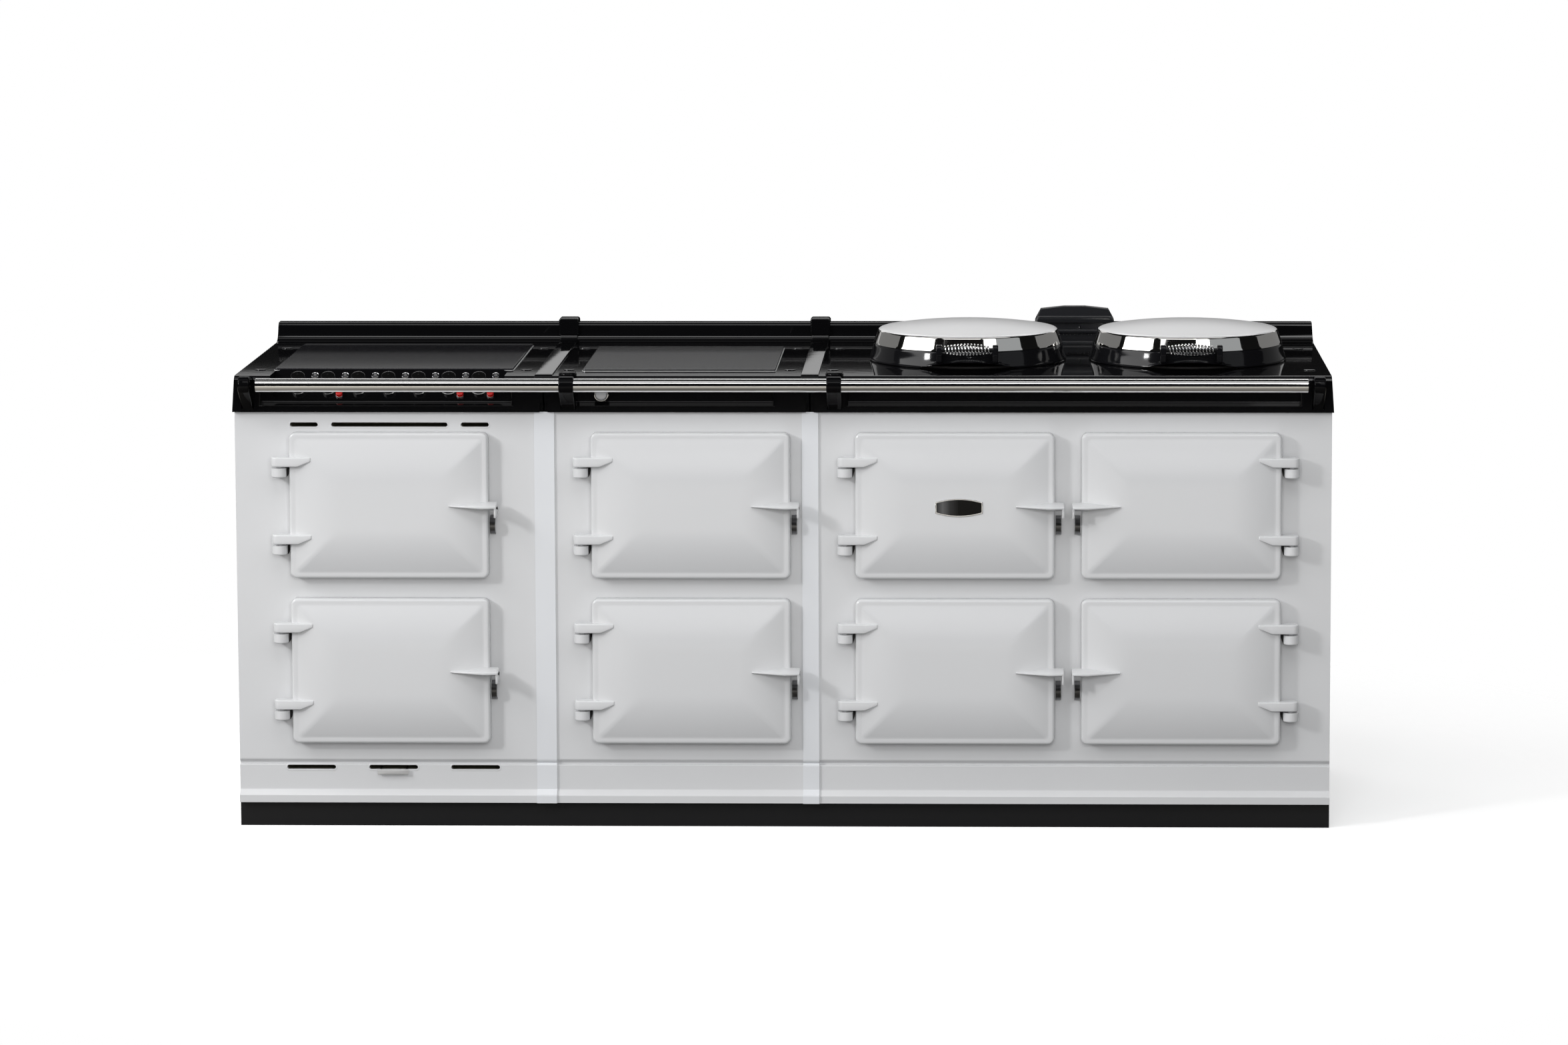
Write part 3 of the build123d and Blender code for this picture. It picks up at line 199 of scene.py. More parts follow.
def enamel(name, colour, wave, rough, ior):
    """Fired enamel: a gloss glass with a faint waviness and a slight change of shade across the casting."""
    finish, shader, signal = new_finish(name, ior=ior)
    place = signal.node("TexCoord", {}, {}, output="Object")
    cloud = signal.node("TexNoise", {}, {"Vector": place, "Scale": 2.2, "Detail": 2.0})
    darker = tuple(0.95 * c for c in colour)
    shade = signal.node(
        "Mix", {"data_type": "RGBA"}, {"Factor": cloud, "A": (*darker, 1), "B": (*colour, 1)}, output=2)
    feed(shader, "Base Color", shade)
    patches = signal.node("TexNoise", {}, {"Vector": place, "Scale": 9.0})
    feed(shader, "Roughness", rough * (0.85 + 0.3 * patches))
    skin = signal.node("TexNoise", {}, {"Vector": place, "Scale": 38.0, "Detail": 1.0})
    relief = signal.node("Bump", {}, {"Height": skin, "Strength": wave, "Distance": 0.001}, output="Normal")
    feed(shader, "Normal", relief)
    return finish


def finish_node(name, finish):
    """Gives every material slot of a CAD node one finish."""
    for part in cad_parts[name].material_slots:
        part.material = finish


white_enamel = enamel("white_enamel", (0.70, 0.705, 0.715), 0.04, 0.13, 1.5)
strip_enamel = enamel("strip_enamel", (0.77, 0.785, 0.81), 0.02, 0.13, 1.5)
for name in ("left_front_plate", "middle_front_plate", "right_front_plate", "hinge_blocks"):
    finish_node(name, white_enamel)
finish_node("front_seam_strips", strip_enamel)


# Doors: eight white enamelled castings, each with a rounded rim and a pillow face, two arms that carry the
# hinge pins and a hooded finger fin. The outermost column is hinged on the right.


def rectangles(width, height, corner, level, steps=8):
    """Rings of points (ring, place, uvw), each a rounded rectangle: quarter circles of radius corner about
    centres that lie width / 2 - corner and height / 2 - corner from the middle, at height level."""
    width, height, corner, level = (np.asarray(a, float)[:, None] for a in np.broadcast_arrays(
        *(np.atleast_1d(a) for a in (width, height, corner, level))))
    angle = (np.arange(4)[:, None] * pi / 2 + np.linspace(0, pi / 2, steps)[None]).ravel()[None]
    across = np.repeat([1, -1, -1, 1], steps)[None]
    up = np.repeat([1, 1, -1, -1], steps)[None]
    return np.stack([
        across * (width / 2 - corner) + corner * np.cos(angle),
        up * (height / 2 - corner) + corner * np.sin(angle),
        level + 0 * angle,
    ], axis=-1)


def rounded(corners, steps=5):
    """Closed outline through corners (u, v, radius): each becomes an arc that touches both of its sides."""
    data = np.array(corners, float)
    point, radius = data[:, :2], data[:, 2:]

    def unit(a):
        return a / np.linalg.norm(a, axis=-1, keepdims=True)

    before = unit(np.roll(point, 1, axis=0) - point)
    after = unit(np.roll(point, -1, axis=0) - point)
    half = np.arccos(np.clip((before * after).sum(axis=1, keepdims=True), -1, 1)) / 2
    inward = unit(before + after)
    centre = point + inward * radius / np.sin(half)
    swing = (pi / 2 - half)[:, None] * np.linspace(1, -1, steps)[None, :, None]
    sideways = unit(before - after)[:, None]
    arcs = centre[:, None] + radius[:, None] * (sideways * np.sin(swing) - inward[:, None] * np.cos(swing))
    return arcs.reshape(-1, 2)


def prism(outline, low, high, edge, steps=4):
    """Rings over an outline from level low to high, both rims rounded: along each rim the outline draws in by
    edge * (1 - sin a) while the level moves by edge * (1 - cos a), for a from 0 to a quarter turn."""
    angle = np.linspace(0, pi / 2, steps)
    draw = np.concatenate([[edge + 0.5], edge * (1 - np.sin(angle))])
    move = np.concatenate([[0], edge * (1 - np.cos(angle))])
    draw = np.concatenate([draw, draw[::-1]])
    level = np.concatenate([low + move, (high - move)[::-1]])
    ahead = np.roll(outline, -1, axis=0) - np.roll(outline, 1, axis=0)
    normal = np.stack([ahead[:, 1], -ahead[:, 0]], axis=1) / np.linalg.norm(ahead, axis=1, keepdims=True)
    following = np.roll(outline, -1, axis=0)
    normal *= np.sign((outline[:, 0] * following[:, 1] - outline[:, 1] * following[:, 0]).sum())
    flat = outline[None] - draw[:, None, None] * normal[None]
    return np.concatenate([flat, np.broadcast_to(level[:, None, None], (*flat.shape[:2], 1))], axis=2)


def turned(profile, around=64):
    """Rings of a lathe-turned form: each (radius, level) of the profile goes round the w axis."""
    profile = np.array(profile, float)
    angle = np.arange(around) * 2 * pi / around
    radius = profile[:, :1]
    return np.stack([
        radius * np.cos(angle)[None], radius * np.sin(angle)[None],
        profile[:, 1:] + 0 * angle[None]], axis=-1)


def skin(rings):
    """Closed surface over rings of points: quads between neighbouring rings and a fan to a pole at each end,
    or a closed loop without poles where the last ring repeats the first. Its faces are turned over if the
    enclosed volume, summed over its triangles, comes out negative."""
    looped = np.allclose(rings[0], rings[-1])
    rings = rings[:-1] if looped else rings
    count, around = rings.shape[:2]
    index = np.arange(count * around).reshape(count, around)
    beside = np.roll(index, -1, axis=1)
    quads = np.stack([index, beside, np.roll(beside, -1, axis=0), np.roll(index, -1, axis=0)], axis=-1)
    points, fans = rings.reshape(-1, 3), np.zeros((0, 3), int)
    if not looped:
        first, last = np.full(around, count * around), np.full(around, count * around + 1)
        fans = np.concatenate([
            np.stack([beside[0], index[0], first], axis=1), np.stack([index[-1], beside[-1], last], axis=1)])
        points = np.concatenate([points, rings[:1].mean(axis=1), rings[-1:].mean(axis=1)])
    quads = (quads if looped else quads[:-1]).reshape(-1, 4)
    thirds = np.concatenate([quads[:, :3], quads[:, [0, 2, 3]], fans])
    a, b, c = (points[thirds[:, k]] for k in range(3))
    if (a * np.cross(b, c)).sum() < 0:
        quads, fans = quads[:, ::-1], fans[:, ::-1]
    return points, quads, fans


def placed(rings, origin, u, v, w):
    """Rings moved from (u, v, w) to the frame, in millimetres: origin + u, v and w times their directions."""
    return np.array(origin, float) + rings @ np.array([u, v, w], float)


def piece(name, body, shells, replaced=(), sharp=40):
    """One object from shells (rings, finish) in millimetres. Edges sharper than an angle stay crisp."""
    points, faces, marks, finishes, base = [], [], [], [], 0
    for rings, finish in shells:
        if finish not in finishes:
            finishes.append(finish)
        spots, quads, fans = skin(rings)
        points.append(spots * 0.001)
        faces += (quads + base).tolist() + (fans + base).tolist()
        marks.append(np.full(len(quads) + len(fans), finishes.index(finish)))
        base += len(spots)
    mesh = bpy.data.meshes.new(name)
    mesh.from_pydata(np.concatenate(points), [], faces)
    for finish in finishes:
        mesh.materials.append(finish)
    mesh.polygons.foreach_set("material_index", np.concatenate(marks).astype(np.int32))
    mesh.polygons.foreach_set("use_smooth", np.ones(len(faces), bool))
    mesh.set_sharp_from_angle(angle=radians(sharp))
    made = bpy.data.objects.new(name, mesh)
    bpy.context.scene.collection.objects.link(made)
    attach(made, body)
    for node in replaced:
        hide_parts(node)


door_width, door_height, hinge_reach = 377, 278, 222
facing_front = ((1, 0, 0), (0, 0, 1), (0, -1, 0))


def door_shells():
    """Rings of one door about its middle: u away from the hinge, v up, w out of the front plate's face."""
    round_off = np.linspace(0, pi / 2, 6)
    climb = np.linspace(0, 1, 26)
    inset = np.concatenate([[1.5, 0.4, 0], 5 * (1 - np.cos(round_off)), [9.5], 11 + 85 * climb])
    level = np.concatenate([
        [1.5, 1.9, 3], 21 + 5 * np.sin(round_off), [26], 26 + 16 * (1 - (1 - climb) ** 2)])
    corner = np.concatenate([[11, 12, 12], 12 - 5 * (1 - np.cos(round_off)), [6], np.full(26, 8)])
    shells = [rectangles(door_width - 2 * inset, door_height - 2 * inset, corner, level, 9)]
    arm = rounded([
        (-hinge_reach, 8, 13), (-hinge_reach, 36, 11), (-171, 37.4, 2), (-146, 37.2, 2), (-146, 13, 2),
        (-171, 10.6, 2), (-183.5, 8, 2)], 6)
    for low in (75, -73):
        bar = prism(arm, 0, 18, 2.2)[:, :, [0, 2, 1]]
        fade = 1 - 0.6 * np.clip((bar[:, :, :1] + 172) / 26, 0, 1)
        upward = low + 18 - (18 - bar[:, :, 1:2]) * fade
        shells.append(np.concatenate([bar[:, :, :1], upward, bar[:, :, 2:]], axis=2))
        pin = turned([(3, -14), (4.5, -12.5), (4.5, 2)], 24) + [0, 0, low]
        shells.append(pin[:, :, [0, 2, 1]] + [-208, 0, 22])
    fin_x = np.array([115.5, 135, 156, 177.5, 192, 203.5, 206, 206.5])
    root, ridge, end = fin_x[[0, 3, -1]]
    share = np.clip((fin_x - root) / (ridge - root), 0, 1)
    shrink = np.array([0, 0, 0, 0, 0, 0, 0.9, 2.4])
    reach = 44.5 + 19 * share - 3 * np.clip((fin_x - ridge) / (end - ridge), 0, 1) - shrink
    top = 4.5 + 3.5 * share - shrink
    bottom = -1.5 - 8 * share + shrink
    tip = 1 + share
    sections = [
        np.column_stack([np.full(20, x), rounded([
            (t, 22 + s, 0.6), (1.5 + n, r, 1.2), (1.5 - n, r, 1.2), (b, 22 + s, 0.6)], 5)])
        for x, r, t, b, n, s in zip(fin_x, reach, top, bottom, tip, shrink)]
    shells.append(np.stack(sections))
    leg = rounded([(202.5, -18.5, 1.2), (206.5, -18.5, 1.2), (206.5, 1.5, 1.2), (202.5, 1.5, 1.2)], 4)
    shells.append(prism(leg, 14, 60.5, 1.2, 3))
    return shells


def door_place(name):
    """Where a door goes: the middle of its slab on the front plate's face, then its u, v and w. The hinge's
    side follows from the box of the door's node, and u runs to the left where the hinge is on the right."""
    low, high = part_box(name)
    hinged_right = high.x > 0.9
    middle_x = high.x * 1000 - hinge_reach if hinged_right else low.x * 1000 + hinge_reach
    middle = (middle_x, panel_y * 1000, high.z * 1000 - door_height / 2)
    return middle, (-1, 0, 0) if hinged_right else (1, 0, 0), (0, 0, 1), (0, -1, 0)


door_nodes = [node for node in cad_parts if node.endswith("_door")]
for name in door_nodes:
    shells = [(placed(rings, *door_place(name)), white_enamel) for rings in door_shells()]
    piece(name + "_casting", name + "_set", shells, [name])


# Hinge corner shade: small near-black fillets behind the arms, two for each door. They are painted shade,
# dark pieces standing in for the shadow in the corner under each arm.
# Each fills the corner between a hinge block and the door's edge and is fixed to the front plate.
corner_shade_black = new_finish("corner_shade_black", base_color=(0.012, 0.012, 0.012, 1), roughness=0.5)[0]
shells = []
for name in door_nodes:
    for top in (73.5, -74.5):
        shade_fill = rounded([
            (-197, top, 0.5), (-189.8, top, 0.5), (-189.8, top - 8, 2), (-193, top - 19, 2),
            (-197, top - 19, 0.5)], 4)
        shells.append((placed(prism(shade_fill, 0, 19, 0.8, 3), *door_place(name)), corner_shade_black))
piece("hinge_corner_shade", "range", shells)


# Badge place on one upper door of the right module: a bare barrel-shaped plate in a plated rim.
# It is pinned near the middle of the door's face.
chrome = new_finish("chrome", base_color=(0.86, 0.86, 0.87, 1), metallic=1.0, roughness=0.07)[0]
black_with_painted_glint, gloss_shader, gloss_signal = new_finish("black_with_painted_glint", roughness=0.2, ior=1.3)


def barrel(length, height, bulge, steps=24):
    """Closed outline with straight short ends and long sides that bow outwards as a parabola."""
    along = np.linspace(-1, 1, steps)
    upper = np.column_stack([along[::-1] * length / 2, height / 2 - bulge * along ** 2])
    lower = np.column_stack([along * length / 2, -height / 2 + bulge * along ** 2])
    return np.concatenate([upper, lower])


low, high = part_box("right_inner_upper_door")
badge_at = (low.x * 1000 + hinge_reach + 8, panel_y * 1000 - 41.8, high.z * 1000 - door_height / 2)
rim = placed(prism(barrel(89.6, 35, 6.9), 0, 1.9, 0.9), badge_at, *facing_front)
field = placed(prism(barrel(85.6, 30.6, 6.3), 0.5, 2.8, 0.5), badge_at, *facing_front)
# The plate's black is painted lighter in a soft band near its left end: a painted glint that stands in for a
# reflection.
across = gloss_signal.node("SeparateXYZ", {}, {
    "Vector": gloss_signal.node("TexCoord", {}, {}, output="Object")}, output="X")
feed(gloss_shader, "Base Color", gloss_signal.node(
    "ValToRGB", {"stops": [(0, 0.02), (0.14, 0.11), (0.3, 0.03), (0.5, 0.002)]},
    {"Fac": (across * 1000 - (badge_at[0] - 43)) / 86}))
piece("blank_badge", "right_inner_upper_door_set", [(rim, chrome), (field, black_with_painted_glint)])


# Top castings, their seam covers and screw caps: grey iron under glossy black enamel.
# The iron's slight waviness shows through the enamel in its highlights.
black_enamel = enamel("black_enamel", (0.003, 0.003, 0.0034), 0.03, 0.05, 1.5)
casting_boxes = []
for name in ("left_top_casting", "middle_top_casting", "right_top_casting"):
    finish_node(name, black_enamel)
    casting_boxes.append([corner * 1000 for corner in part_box(name)])
(left_low, left_high), (middle_low, middle_high), (right_low, right_high) = casting_boxes
seams = ((left_high.x + middle_low.x) / 2, (middle_high.x + right_low.x) / 2)
deck_z, wall_y = left_high.z - 39, left_high.y - 34
quarter = np.linspace(0, pi / 2, 8)
track = np.concatenate([
    [[left_low.y, deck_z - 14]],
    np.column_stack([left_low.y + 12 - 12 * np.cos(quarter), deck_z - 12 + 12 * np.sin(quarter)]),
    np.column_stack([wall_y - 18 + 18 * np.sin(quarter), deck_z + 18 - 18 * np.cos(quarter)]),
    np.column_stack([wall_y + 8 - 8 * np.cos(quarter), left_high.z - 8 + 8 * np.sin(quarter)]),
    [[left_high.y - 2, left_high.z]]])
ahead = np.gradient(track, axis=0)
ahead /= np.linalg.norm(ahead, axis=1, keepdims=True)
outwards = np.column_stack([-ahead[:, 1], ahead[:, 0]])
bend = np.linspace(0, pi / 2, 5)
rim_arc = np.column_stack([15.8 + 1.2 * np.cos(bend), 1.8 + 1.2 * np.sin(bend)])
half_section = np.concatenate([[[17, -1]], rim_arc])
section = np.concatenate([half_section, half_section[::-1] * [-1, 1]])
shells = []
for seam in seams:
    reach = track[:, None] + outwards[:, None] * section[None, :, 1:]
    strip = np.concatenate([seam + 0 * reach[:, :, :1] + section[None, :, :1], reach], axis=2)
    shells.append((strip, black_enamel))
    block = rounded([
        (-20, deck_z + 14, 3), (20, deck_z + 14, 3), (20, deck_z + 48, 5), (-20, deck_z + 48, 5)], 6)
    shells.append((placed(prism(block, 0, 41, 2.5, 5), (seam, left_high.y, 0), *facing_front), black_enamel))
for start, end in ((left_low.x, seams[0]), seams, (seams[1], right_high.x)):
    for cap_x in (start + 41, end - 41):
        for cap_y in (left_low.y + 104, left_low.y + 480):
            cap = turned([(11, 0), (11, 0.8), (10.7, 1.25), (10.1, 1.5), (0.5, 1.55)], 48)
            shells.append((cap + [cap_x, cap_y, deck_z], black_enamel))
piece("seam_covers_and_caps", "range", shells, ["top_trim"])


# Handrail: one polished stainless steel tube with capped ends, held by two end brackets and two collars.
# Brackets and collars are black enamelled castings, and the tube runs through them from end to end.
rail_low, rail_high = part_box("handrail")
rail_middle = (rail_low + rail_high) * 500
along_rail = ((0, 1, 0), (0, 0, 1), (1, 0, 0))
polished = new_finish("polished_steel", base_color=(0.9, 0.895, 0.885, 1), metallic=1.0, roughness=0.09)[0]
rail_end = rail_high.x * 1000
rail_shape = turned([
    (10.6, -rail_end + 0.4), (11.2, -rail_end), (12.2, -rail_end), (13, -rail_end + 0.9),
    (13, rail_end - 0.9), (12.2, rail_end), (11.2, rail_end), (10.6, rail_end - 0.4)], 96)
piece("rail_tube", "range", [
    (placed(rail_shape, rail_middle * Vector((0, 1, 1)), *along_rail), polished)], ["handrail"])


def arm_outline(root_low, root_high, root_y, tip_radius):
    """Side outline of a rail arm: an arc round the rail, then straight sides that touch it and the root's
    ends. The touching points lie where the line from the root's end is square to the arc's radius."""
    root = np.array([[root_y, root_high], [root_y, root_low]])
    far = np.linalg.norm(root, axis=1)
    base = np.arctan2(root[:, 1], root[:, 0])
    spread = np.arccos(tip_radius / far)
    angle = np.linspace(base[0] + spread[0], base[1] - spread[1] + 2 * pi, 26)
    arc = tip_radius * np.column_stack([np.cos(angle), np.sin(angle)])
    return np.concatenate([arc, root[1:] + [-1, 2.5], root[1:], root[:1], root[:1] + [-1, -2.5]])


arm_enamel = enamel("arm_enamel", (0.003, 0.003, 0.0034), 0.03, 0.07, 1.2)
root_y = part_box("left_top_casting")[0].y * 1000 - rail_middle.y
arm_radius, boss_back, collars = 17, 7, (-404, 100)
bracket = arm_outline(802 - rail_middle.z, 864 - rail_middle.z, root_y, arm_radius)
shells = []
for low, high, edge in ((-1023, -1001, 3.2), (1001, 1023, 3.2), *((x - 14, x + 14, 2.5) for x in collars)):
    arm = prism(bracket, low, high, edge, 6)
    shells.append((placed(arm, rail_middle * Vector((0, 1, 1)), *along_rail), arm_enamel))
for centre in collars:
    half = np.arccos(boss_back / arm_radius)
    angle = np.linspace(pi / 2 + (pi - half), pi / 2 - (pi - half), 40) + pi
    ring = np.column_stack([arm_radius * np.cos(angle), arm_radius * np.sin(angle)])
    ring[:, 1] = np.minimum(ring[:, 1], boss_back)
    boss = prism(ring, 846, 876, 5, 7) + [centre, rail_middle.y + root_y - boss_back, 0]
    shells.append((boss, arm_enamel))
piece("rail_arms", "range", shells, ["rail_brackets"])


# Lids: over each hotplate a flared black skirt with a finger scallop, lugs and a coil handle of bright wire,
# and on it a polished dome spun from sheet.
satin = new_finish("dome_top", base_color=(0.88, 0.88, 0.885, 1), metallic=0.45, roughness=0.3)[0]
mirror = new_finish("dome_side", base_color=(0.62, 0.61, 0.59, 1), metallic=1.0, roughness=0.04)[0]
skirt_black = new_finish("skirt_enamel", base_color=(0.006, 0.006, 0.007, 1), roughness=0.08, ior=1.34)[0]
scallop_half, scallop_rise = 94, 12
dome_reach, dome_rise, dome_top = 167, 13.5, 75
lying = [2, 0, 1]
for side in ("left", "right"):
    low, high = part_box(side + "_lid_dome")
    centre = ((low.x + high.x) * 500, (low.y + high.y) * 500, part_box(side + "_lid_skirt")[0].z * 1000)
    angle = np.linspace(0, 2 * pi, 193)[:-1]
    flare = np.array([
        (174, 3), (174.5, 1), (176, 0), (189, 0), (190.3, 0.5), (191, 2), (190.9, 4), (190, 6), (188.6, 10),
        (186.9, 16), (185.3, 22), (183.9, 28), (182.9, 31.5), (182, 32.5), (176, 32.5), (174, 31)])
    radius = np.repeat(flare[:, :1], 192, axis=1)
    level = np.repeat(flare[:, 1:], 192, axis=1)
    x_here = radius * np.cos(angle)[None]
    front = np.sin(angle)[None] < 0
    scallop_radius = (scallop_half ** 2 + scallop_rise ** 2) / (2 * scallop_rise)
    lift = np.where(
        front & (np.abs(x_here) < scallop_half),
        scallop_rise - scallop_radius + np.sqrt(np.maximum(scallop_radius ** 2 - x_here ** 2, 0)), 0)
    level = np.maximum(level, lift + 0.35 * np.minimum(level, 6) * (lift > 0))
    skirt = np.stack([x_here, radius * np.sin(angle)[None], level], axis=-1)
    skirt = np.concatenate([skirt, skirt[:1]])
    handle_y, handle_z = -217, 40
    lug = rounded([
        (-168, 14, 1), (-222, 14, 8), (-227, 30, 4), (-227, 50, 8), (-207, 50, 8), (-207, 32.5, 4),
        (-168, 32.5, 1)], 6)
    shells = []
    for lug_x in (-59, 48):
        shells.append((prism(lug, lug_x, lug_x + 11, 2, 5)[:, :, lying], skirt_black))
    rod = turned([(4, -48), (4, 48)], 32)[:, :, lying] + [0, handle_y, handle_z]
    shells.append((rod, skirt_black))
    knuckle = turned([(5.06, -30), (11, -30), (12, -29), (12, 29), (11, 30), (5.06, 30)], 40)
    shells.append((knuckle[:, :, lying] + [0, 213, 22], skirt_black))
    web = rounded([(178, 10, 1), (178, 30, 1), (213, 30, 2), (213, 10, 2)], 4)
    shells.append((prism(web, -30, 30, 1.5)[:, :, lying], skirt_black))
    shells.append((skirt, skirt_black))
    shells = [(rings + np.array(centre), finish) for rings, finish in shells]
    body = side + "_lid"
    piece(side + "_skirt", body, shells, [side + "_lid_skirt"])
    bow = np.linspace(0, 1, 22)
    crown = (dome_reach ** 2 + dome_rise ** 2) / (2 * dome_rise)
    out = dome_reach * (1 - bow)
    top = np.column_stack([out, dome_top - crown + np.sqrt(crown ** 2 - out ** 2)])[:-1]
    shoulder = np.array([
        (183.3, 33), (183, 34), (182.4, 36), (182.02, 37), (175.11, 55.5), (174.9, 56.05), (174.3, 57.3),
        (173.1, 58.7), (170.8, 60.3)])
    profile = np.concatenate([[(120, 33), (182.6, 32.8)], shoulder, top])
    dome = turned(profile, 192)
    piece(side + "_dome_shell", body, [
        (dome[:10] + np.array(centre), mirror), (dome[9:] + np.array(centre), satin)], [side + "_lid_dome"])
    turns, per_turn, wire = 14, 28, 1.35
    share = np.linspace(0, 1, turns * per_turn + 1)
    swell = 6.75 + 4.9 * np.sin(pi * share)
    spin = 2 * pi * turns * share
    line = np.column_stack([
        -44 + 88 * share, handle_y + swell * np.cos(spin), handle_z + swell * np.sin(spin)])
    ahead = np.gradient(line, axis=0)
    ahead /= np.linalg.norm(ahead, axis=1, keepdims=True)
    outwards = line * [0, 1, 1] - [0, handle_y, handle_z]
    outwards -= ahead * (outwards * ahead).sum(axis=1, keepdims=True)
    outwards /= np.linalg.norm(outwards, axis=1, keepdims=True)
    third = np.cross(ahead, outwards)
    ring_angle = np.arange(8) * 2 * pi / 8
    tube = line[:, None] + wire * (
        outwards[:, None] * np.cos(ring_angle)[None, :, None]
        + third[:, None] * np.sin(ring_angle)[None, :, None])
    piece(
        side + "_coil_grip", body, [(tube + np.array(centre), chrome)],
        [side + "_lid_coil_handle"])


# Hob glass and warming plate: a black glass ceramic sheet and a satin steel plate with ground edges.
# Both lie on seats in the top castings, each inside a thin steel edge trim.
glass = new_finish("hob_glass", base_color=(0.01, 0.01, 0.012, 1), roughness=0.1, ior=1.45)[0]
warm = new_finish("warm_plate", base_color=(0.12, 0.12, 0.124, 1), metallic=0.9, roughness=0.18)[0]
edge_steel = new_finish("edge_steel", base_color=(0.5, 0.5, 0.5, 1), metallic=0.7, roughness=0.35)[0]
for node, finish, slot_name in (("hob_glass", glass, "hob_glass"), ("warming_plate", warm, "warm_plate")):
    low, high = (corner * 1000 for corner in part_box(node))
    inset = np.array([1.2, 0.6, 0, 0, 0.35, 1.0, 1.6, 3.0])
    level = np.array([0, 0, 0.4, 2.6, 3.5, 3.9, 4.0, 4.0])
    plate = rectangles(high.x - low.x - 2 * inset, high.y - low.y - 2 * inset, 6 - inset, level, 8)
    middle = ((low.x + high.x) / 2, (low.y + high.y) / 2, low.z)
    grow = np.array([1.5, 1.5, 1.2, 0.8, -0.2, -0.2, 1.5])
    height = np.array([-0.4, 0.3, 0.7, 0.9, 0.9, -0.4, -0.4])
    trim = rectangles(high.x - low.x + 2 * grow, high.y - low.y + 2 * grow, 6 + grow, height, 8)
    piece(node + "_plate", "range", [
        (plate + np.array(middle), finish), (trim + np.array(middle), edge_steel)], [node])


# Vent tower against the upstand: a cast cover with a leaning hood over two deep louvres.
# It is enamelled satin charcoal and held by one small bright screw.
# A row of small bright studs sits in its lower louvre.
charcoal = new_finish("charcoal", base_color=(0.012, 0.0125, 0.0145, 1), roughness=0.3)[0]
low, high = (corner * 1000 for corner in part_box("vent_tower"))
tower_x = (low.x + high.x) / 2
hob_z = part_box("hob_glass")[0].z * 1000
stations = np.array([
    -78.5, -78, -76.5, -72, -67, -64.2, -64, -50, -35, -21, -7,
    7, 21, 35, 50, 64, 64.2, 67, 72, 76.5, 78, 78.5])
crown = np.interp(np.abs(stations), [0, 21, 67, 78.5], [74, 74, 69, 48])
groove = np.where(np.abs(stations) <= 64, 8.0, 0.3)
draw = np.interp(np.abs(stations), [76.5, 78, 78.5], [0, 0.6, 1.6])
sections = []
for station, top, depth, small in zip(stations, crown, groove, draw):
    ledge = min(56, top - 4)
    lean = 16 * (top - ledge) / 18
    side = [
        (small, 0), (small, 5.2), (small + 0.6, 6), (depth, 7), (depth, 22), (small + 0.6, 23), (small, 23.8),
        (small, 28.4), (small + 0.6, 29.2), (depth, 30.2), (depth, 42), (small + 0.6, 43), (small, 43.8),
        (small, ledge - 1), (small + 0.4, ledge - 0.2), (small + 2.2, ledge), (small + 3.2, ledge + 0.6),
        (lean + 2.5, top - 1.6 - small), (lean + 4.5, top - small), (39.5, top - small),
        (40.9, top - 1.2 - small), (40.9, 0)]
    sections.append([(tower_x + station, low.y + y, hob_z + min(z, top - small)) for y, z in side])
shells = [(np.array(sections), charcoal)]
screw = placed(
    turned([(2.4, 0), (2.4, 0.8), (1.7, 1.4)], 20), (tower_x + 11, low.y + 8, hob_z + 33), *facing_front)
shells.append((screw, chrome))
for step in range(17):
    stud = placed(
        turned([(1.3, 0), (1.2, 0.5), (0.7, 0.9)], 10),
        (tower_x - 56 + 7 * step, low.y + 8, hob_z + 18.5), *facing_front)
    shells.append((stud, chrome))
piece("tower_cover", "range", shells, ["vent_tower"])


# Control fascia: a black enamelled plate on the slope behind the rail. Seven black moulded knobs turn over
# printed marks on it, each with a plated disc beside it, and three have a red neon.
finish_node("control_fascia", black_enamel)
slope_up = Vector((0, 73, 50)).normalized()
slope_out = Vector((0, -50, 73)).normalized()
slope_foot = Vector((-747.5, panel_y * 1000 + 8, 817))
print_white = new_finish("scale_print", base_color=(0.75, 0.75, 0.74, 1), roughness=0.5)[0]
print_grey = new_finish("scale_grey", base_color=(0.3, 0.3, 0.3, 1), roughness=0.5)[0]


def on_slope(rings, x, along, rise):
    """Rings on the fascia: x from its middle, along from its lower edge and rise above its steel."""
    foot = slope_foot + slope_up * along + slope_out * rise
    return placed(rings, (foot.x + x, foot.y, foot.z), (1, 0, 0), slope_up, slope_out)


knob_pitch = 57.5
knob_black = new_finish("knob_black", base_color=(0.004, 0.004, 0.004, 1), roughness=0.18, ior=1.38)[0]
prints = []
for index in range(7):
    x = -2 + (index - 3) * knob_pitch
    body = turned([
        (14, 0.0), (17.4, 0.0), (18, 0.5), (18, 2.1), (17.4, 2.9), (15.8, 3.2), (14.9, 3.8), (14.5, 5),
        (14.0, 14), (13.6, 20.6), (13.1, 22.1), (12.2, 22.8), (9, 23.0), (0.5, 23.05)], 72)
    mark = rectangles([2.6, 3, 3, 2.8], [10, 10.6, 10.6, 10.4], 0.5, [22.9, 23.0, 23.4, 23.5], 4)
    mark += [0, 6.5, 0]
    spindle = turned([(3, -14.5), (3, 1)], 24)
    shells = [
        (on_slope(body, x, 44, 3.5), knob_black), (on_slope(mark, x, 44, 3.5), knob_black),
        (on_slope(spindle, x, 44, 3.5), chrome)]
    for angle in range(222, 319, 8) if index > 4 else range(254, 313, 8):
        dot = turned([(0.8, 0), (0.8, 0.12)], 8) + [16 * cos(radians(angle)), 16 * sin(radians(angle)), 0]
        prints.append((on_slope(dot, x, 33, 3), print_white if index > 4 or angle > 300 else print_grey))
    node = f"control_knob_{index + 1}"
    piece(f"knob_{index + 1}", node + "_set", shells, [node])
piece("scale_prints", "range", prints)
shells = []
